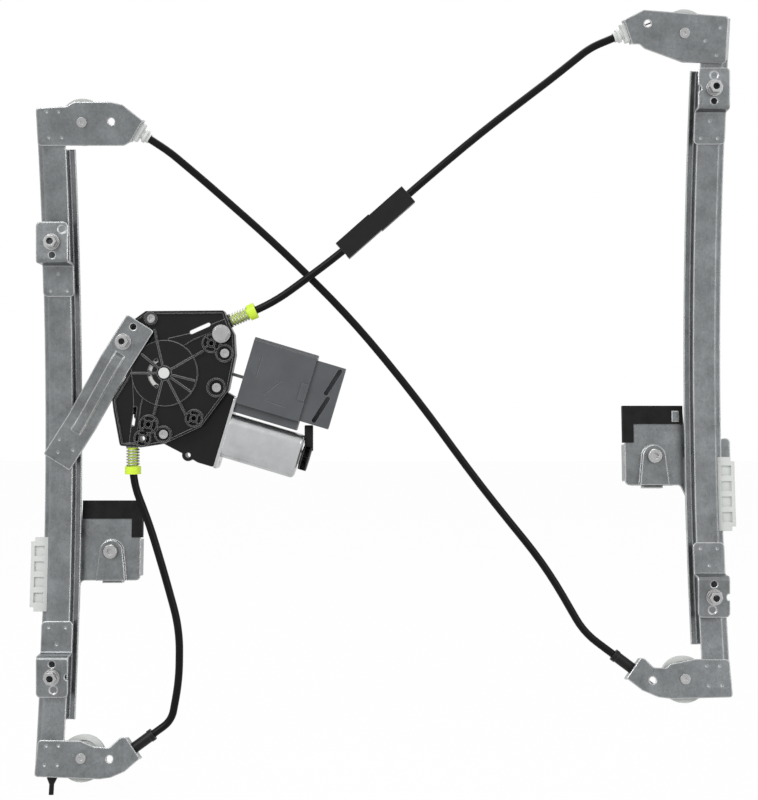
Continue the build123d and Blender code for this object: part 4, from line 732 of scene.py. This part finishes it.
@dataclass
class DrumUnit(SubAssembly):
    """The ribbed housing, the cable drum and the geared motor's case."""

    title: str = "drum unit"

    def __post_init__(self) -> None:
        """Lists the housings, drum, wheel, damper, pin and screws."""
        self.finishes["drum_housing"] = HOUSING_PLASTIC
        self.finishes["cable_drum"] = DRUM_PLASTIC
        self.finishes["drum_pin"] = WHITE_PLASTIC
        self.finishes["worm_wheel"] = WHITE_PLASTIC
        self.finishes["drive_damper"] = BLACK_RUBBER
        self.finishes["gear_housing"] = HOUSING_PLASTIC
        self.finishes["gear_cover"] = HOUSING_PLASTIC
        self.finishes["housing_screws"] = BRIGHT_STEEL
        self.finishes["module_bolt"] = BRIGHT_STEEL


@dataclass
class Motor(SubAssembly):
    """The motor and its control module."""

    title: str = "motor"

    def __post_init__(self) -> None:
        """Lists the motor's pieces and the module's."""
        self.finishes["motor_can"] = MOTOR_STEEL
        self.finishes["motor_flange"] = MOTOR_STEEL
        self.finishes["motor_magnets"] = MAGNET
        self.finishes["worm_shaft"] = BRIGHT_STEEL
        self.finishes["motor_armature"] = COPPER
        self.finishes["module_housing"] = MODULE_PLASTIC
        self.finishes["module_cover"] = MODULE_PLASTIC
        self.finishes["circuit_board"] = BOARD_GREEN
        self.finishes["connector_shroud"] = MODULE_PLASTIC


@dataclass(frozen=True)
class EndStay:
    """The black stay at the motor's end, a capped eye on an arm from the connector.

    Attributes:
        eye_radius: The eye's radius in metres.
        eye_depth: The eye's thickness in metres.
        recess: How far the eye's face is sunk, in metres.
        arm_width: The arm's width in metres.
        arm_depth: The arm's thickness in metres.
        arm_across: How far the arm's middle is past the motor's end, in metres.
        arm_lean: How far the arm's foot leans to the eye, in metres.
        arm_taper: The foot's size as a share of the head's, across and in depth.
        arm_overlap: How far the arm reaches up behind the connector, in metres.
        eye_across: How far the eye's middle is past the motor's end, in metres.
        eye_rise: How far the eye's middle is above the motor's foot, in metres.
        slope: The motor's slope in radians.
        smooth_angle: Edges flatter than this are shaded smooth, in radians.
    """

    eye_radius: float = 0.0112
    eye_depth: float = 0.0062
    recess: float = 0.0016
    arm_width: float = 0.0062
    arm_depth: float = 0.005
    arm_across: float = 0.0075
    arm_lean: float = 0.004
    arm_taper: tuple[float, float] = (1.25, 0.8)
    arm_overlap: float = 0.0035
    eye_across: float = 0.0008
    eye_rise: float = 0.0168
    slope: float = math.radians(16.6)
    smooth_angle: float = math.radians(35.0)

    def build(self) -> bpy.types.Object:
        """Models the stay between the motor's end and the connector.

        Returns:
            The finished piece.
        """
        can_low, can_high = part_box("motor_can")
        plug_low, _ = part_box("connector_shroud")
        middle = (can_low.y + can_high.y) / 2
        eye_place = Vector(
            (can_high.x + self.eye_across, middle, can_low.z + self.eye_rise)
        )
        eye = self._eye(eye_place)
        arm_low = eye_place.z + self.eye_radius * 0.6
        arm_high = plug_low.z + self.arm_overlap
        arm_place = Vector(
            (can_high.x + self.arm_across, middle, (arm_low + arm_high) / 2)
        )
        arm = self._arm(arm_place, arm_high - arm_low)
        bpy.ops.object.select_all(action="DESELECT")
        arm.select_set(True)
        eye.select_set(True)
        bpy.context.view_layer.objects.active = eye
        bpy.ops.object.join()
        eye.name = "motor_end_stay"
        bpy.ops.object.transform_apply(location=True, rotation=True, scale=True)
        bpy.ops.object.shade_smooth_by_angle(angle=self.smooth_angle)
        eye.data.materials.clear()
        eye.data.materials.append(BLACK_PLASTIC.build())
        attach(eye, "frame")
        log.info("motor: %s in %s", eye.name, BLACK_PLASTIC.name)
        return eye

    def _eye(self, place: Vector) -> bpy.types.Object:
        """Models the eye: a disc with a sunk face and rounded rims.

        Args:
            place: The eye's middle.

        Returns:
            The eye.
        """
        bpy.ops.object.select_all(action="DESELECT")
        bpy.ops.mesh.primitive_cylinder_add(
            vertices=64, radius=self.eye_radius, depth=self.eye_depth, location=place
        )
        eye = bpy.context.active_object
        self._sink_end(eye)
        self._round(eye, 0.0006)
        eye.rotation_euler = (0.0, math.radians(90.0) + self.slope, 0.0)
        bpy.ops.object.transform_apply(location=True, rotation=True, scale=True)
        return eye

    def _sink_end(self, eye: bpy.types.Object) -> None:
        """Insets the outer face and sinks it.

        Args:
            eye: The disc, its axis along Z.
        """
        for face in eye.data.polygons:
            face.select = face.normal.z > 0.9
        bpy.ops.object.mode_set(mode="EDIT")
        bpy.ops.mesh.select_mode(type="FACE")
        bpy.ops.mesh.inset(thickness=self.eye_radius * 0.3)
        bpy.ops.mesh.extrude_region_move(
            TRANSFORM_OT_translate={"value": (0.0, 0.0, -self.recess)}
        )
        bpy.ops.mesh.inset(thickness=self.eye_radius * 0.25)
        bpy.ops.mesh.extrude_region_move(
            TRANSFORM_OT_translate={"value": (0.0, 0.0, self.recess * 0.8)}
        )
        bpy.ops.object.mode_set(mode="OBJECT")

    def _arm(self, place: Vector, length: float) -> bpy.types.Object:
        """Models the arm: a tapered bar with rounded edges.

        Args:
            place: The arm's middle.
            length: The arm's length.

        Returns:
            The arm.
        """
        bpy.ops.object.select_all(action="DESELECT")
        bpy.ops.mesh.primitive_cube_add(size=1.0, location=place)
        arm = bpy.context.active_object
        arm.scale = (self.arm_width, self.arm_depth, length)
        bpy.ops.object.transform_apply(location=False, rotation=False, scale=True)
        for face in arm.data.polygons:
            face.select = face.normal.z < -0.9
        bpy.ops.object.mode_set(mode="EDIT")
        bpy.ops.mesh.select_mode(type="FACE")
        bpy.ops.transform.resize(value=(*self.arm_taper, 1.0))
        bpy.ops.transform.translate(value=(-self.arm_lean, 0.0, 0.0))
        bpy.ops.object.mode_set(mode="OBJECT")
        self._round(arm, 0.0009)
        bpy.ops.object.transform_apply(location=True, rotation=True, scale=True)
        return arm

    def _round(self, piece: bpy.types.Object, width: float) -> None:
        """Rounds a piece's edges.

        Args:
            piece: The piece.
            width: The rounding's width in metres.
        """
        bpy.context.view_layer.objects.active = piece
        bevel = piece.modifiers.new("rounded edges", "BEVEL")
        bevel.width = width
        bevel.segments = 3
        bevel.limit_method = "ANGLE"
        bpy.ops.object.modifier_apply(modifier=bevel.name)


@dataclass
class CableRun(SubAssembly):
    """The cables, their conduits and what sits on the conduits."""

    title: str = "cable run"

    def __post_init__(self) -> None:
        """Lists the cables, conduits, springs, caps and clip."""
        for cable in ("cross", "upper", "lower"):
            self.finishes[f"{cable}_cable"] = CABLE_STEEL
            self.finishes[f"{cable}_conduit"] = CONDUIT_BLACK
        self.finishes["conduit_springs"] = SPRING_STEEL
        self.finishes["conduit_caps"] = YELLOW_PLASTIC
        self.finishes["conduit_clip"] = BLACK_PLASTIC


@dataclass(frozen=True)
class Softbox:
    """A soft lamp that looks at the middle of the regulator.

    Attributes:
        name: The lamp's name.
        place: Where it stands, in metres.
        width: Its width in metres.
        power: Its power in watts.
    """

    name: str
    place: Colour
    width: float
    power: float

    def build(self, target: Vector) -> None:
        """Adds the lamp.

        Args:
            target: The point that it looks at.
        """
        data = bpy.data.lights.new(self.name, "AREA")
        data.shape = "SQUARE"
        data.size = self.width
        data.energy = self.power
        lamp = bpy.data.objects.new(self.name, data)
        bpy.context.scene.collection.objects.link(lamp)
        lamp.location = self.place
        aim = target - Vector(self.place)
        lamp.rotation_euler = aim.to_track_quat("-Z", "Y").to_euler()


@dataclass
class Studio:
    """The pale floor, the soft light and the camera.

    Attributes:
        floor_reach: Half of the floor's side in metres.
        floor_gap: How far the floor is under the object, in metres.
        floor_white: The share of plain white in the floor where it's seen.
        room_level: The strength of the room's light.
        lamps: The soft lamps.
    """

    floor_reach: float = 6.0
    floor_gap: float = 0.0005
    floor_white: float = 0.97
    room_level: float = 0.42
    lamps: tuple[Softbox, ...] = (
        Softbox("key softbox", (-1.0, -1.9, 1.7), 1.3, 34.0),
        Softbox("fill softbox", (2.0, -1.6, 0.9), 1.4, 14.0),
        Softbox("top softbox", (0.3, 0.5, 2.2), 1.4, 16.0),
    )

    def build(self, low: Vector, high: Vector) -> None:
        """Sets the whole studio round the object.

        Args:
            low: The object's lowest corner.
            high: The object's highest corner.
        """
        centre = (low + high) / 2
        self._floor(centre, low.z - self.floor_gap)
        self._room()
        for lamp in self.lamps:
            lamp.build(centre)
        self._camera()

    def _floor(self, centre: Vector, level: float) -> None:
        """Adds the pale floor.

        Args:
            centre: The point that it lies under.
            level: Its height.
        """
        bpy.ops.object.select_all(action="DESELECT")
        bpy.ops.mesh.primitive_plane_add(
            size=2 * self.floor_reach, location=(centre.x, centre.y, level)
        )
        floor = bpy.context.active_object
        floor.name = "studio_floor"
        bpy.ops.object.transform_apply(location=True, rotation=True, scale=True)
        floor.data.materials.append(self._floor_finish())
        floor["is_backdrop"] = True

    def _floor_finish(self) -> bpy.types.Material:
        """Makes the floor's material: white where it's seen, with soft shadows.

        Returns:
            The material.
        """
        material = bpy.data.materials.new("pale floor")
        material.use_nodes = True
        tree = material.node_tree
        shader = tree.nodes["Principled BSDF"]
        shader.inputs["Base Color"].default_value = (0.9, 0.9, 0.9, 1.0)
        shader.inputs["Roughness"].default_value = 0.9
        shader.inputs["Specular IOR Level"].default_value = 0.1
        glow = tree.nodes.new("ShaderNodeEmission")
        glow.inputs["Color"].default_value = (1.0, 1.0, 1.0, 1.0)
        rays = tree.nodes.new("ShaderNodeLightPath")
        share = tree.nodes.new("ShaderNodeMath")
        share.operation = "MULTIPLY"
        share.inputs[1].default_value = self.floor_white
        seen = self._seen(tree, rays)
        tree.links.new(seen, share.inputs[0])
        mix = tree.nodes.new("ShaderNodeMixShader")
        tree.links.new(share.outputs["Value"], mix.inputs["Fac"])
        tree.links.new(shader.outputs["BSDF"], mix.inputs[1])
        tree.links.new(glow.outputs["Emission"], mix.inputs[2])
        leave = tree.nodes["Material Output"]
        tree.links.new(mix.outputs["Shader"], leave.inputs["Surface"])
        return material

    def _seen(
        self, tree: bpy.types.NodeTree, rays: bpy.types.Node
    ) -> bpy.types.NodeSocket:
        """Adds up the rays that show the background.

        Args:
            tree: The tree of the floor or the world.
            rays: Its Light Path node.

        Returns:
            The socket that is 1 for such a ray.
        """
        first = tree.nodes.new("ShaderNodeMath")
        first.operation = "MAXIMUM"
        tree.links.new(rays.outputs["Is Camera Ray"], first.inputs[0])
        tree.links.new(rays.outputs["Is Glossy Ray"], first.inputs[1])
        second = tree.nodes.new("ShaderNodeMath")
        second.operation = "MAXIMUM"
        tree.links.new(first.outputs["Value"], second.inputs[0])
        tree.links.new(rays.outputs["Is Transmission Ray"], second.inputs[1])
        return second.outputs["Value"]

    def _room(self) -> None:
        """Sets the world: white where it's seen, softer as light."""
        world = bpy.data.worlds.new("studio room")
        bpy.context.scene.world = world
        world.use_nodes = True
        tree = world.node_tree
        back = tree.nodes["Background"]
        back.inputs["Color"].default_value = (1.0, 1.0, 1.0, 1.0)
        rays = tree.nodes.new("ShaderNodeLightPath")
        seen = self._seen(tree, rays)
        level = tree.nodes.new("ShaderNodeMapRange")
        level.inputs["To Min"].default_value = self.room_level
        level.inputs["To Max"].default_value = 1.0
        tree.links.new(seen, level.inputs["Value"])
        tree.links.new(level.outputs["Result"], back.inputs["Strength"])

    def _camera(self) -> None:
        """Adds the camera at the photograph's angle."""
        data = bpy.data.cameras.new("photo camera")
        data.sensor_fit = "HORIZONTAL"
        data.sensor_width = 36.0
        seen_width = PHOTO_WIDTH * METRES_PER_PIXEL
        data.lens = data.sensor_width * CAMERA_DISTANCE / seen_width
        data.clip_start = 0.01
        camera = bpy.data.objects.new("photo camera", data)
        bpy.context.scene.collection.objects.link(camera)
        camera.location = (CAMERA_ACROSS, -CAMERA_DISTANCE, CAMERA_HEIGHT)
        camera.rotation_euler = (math.radians(90.0), 0.0, 0.0)
        bpy.context.scene.camera = camera


def main() -> None:
    """Builds and dresses the regulator and its studio."""
    logging.basicConfig(level=logging.INFO, format="%(message)s")
    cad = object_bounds()
    for part in (Rails(), Pulleys(), Carriers(), DrumUnit(), Motor(), CableRun()):
        part.dress()
    EndStay().build()
    Studio().build(Vector(cad[0]), Vector(cad[1]))
    bpy.context.scene.view_settings.view_transform = "Standard"


if __name__ == "__main__":
    main()
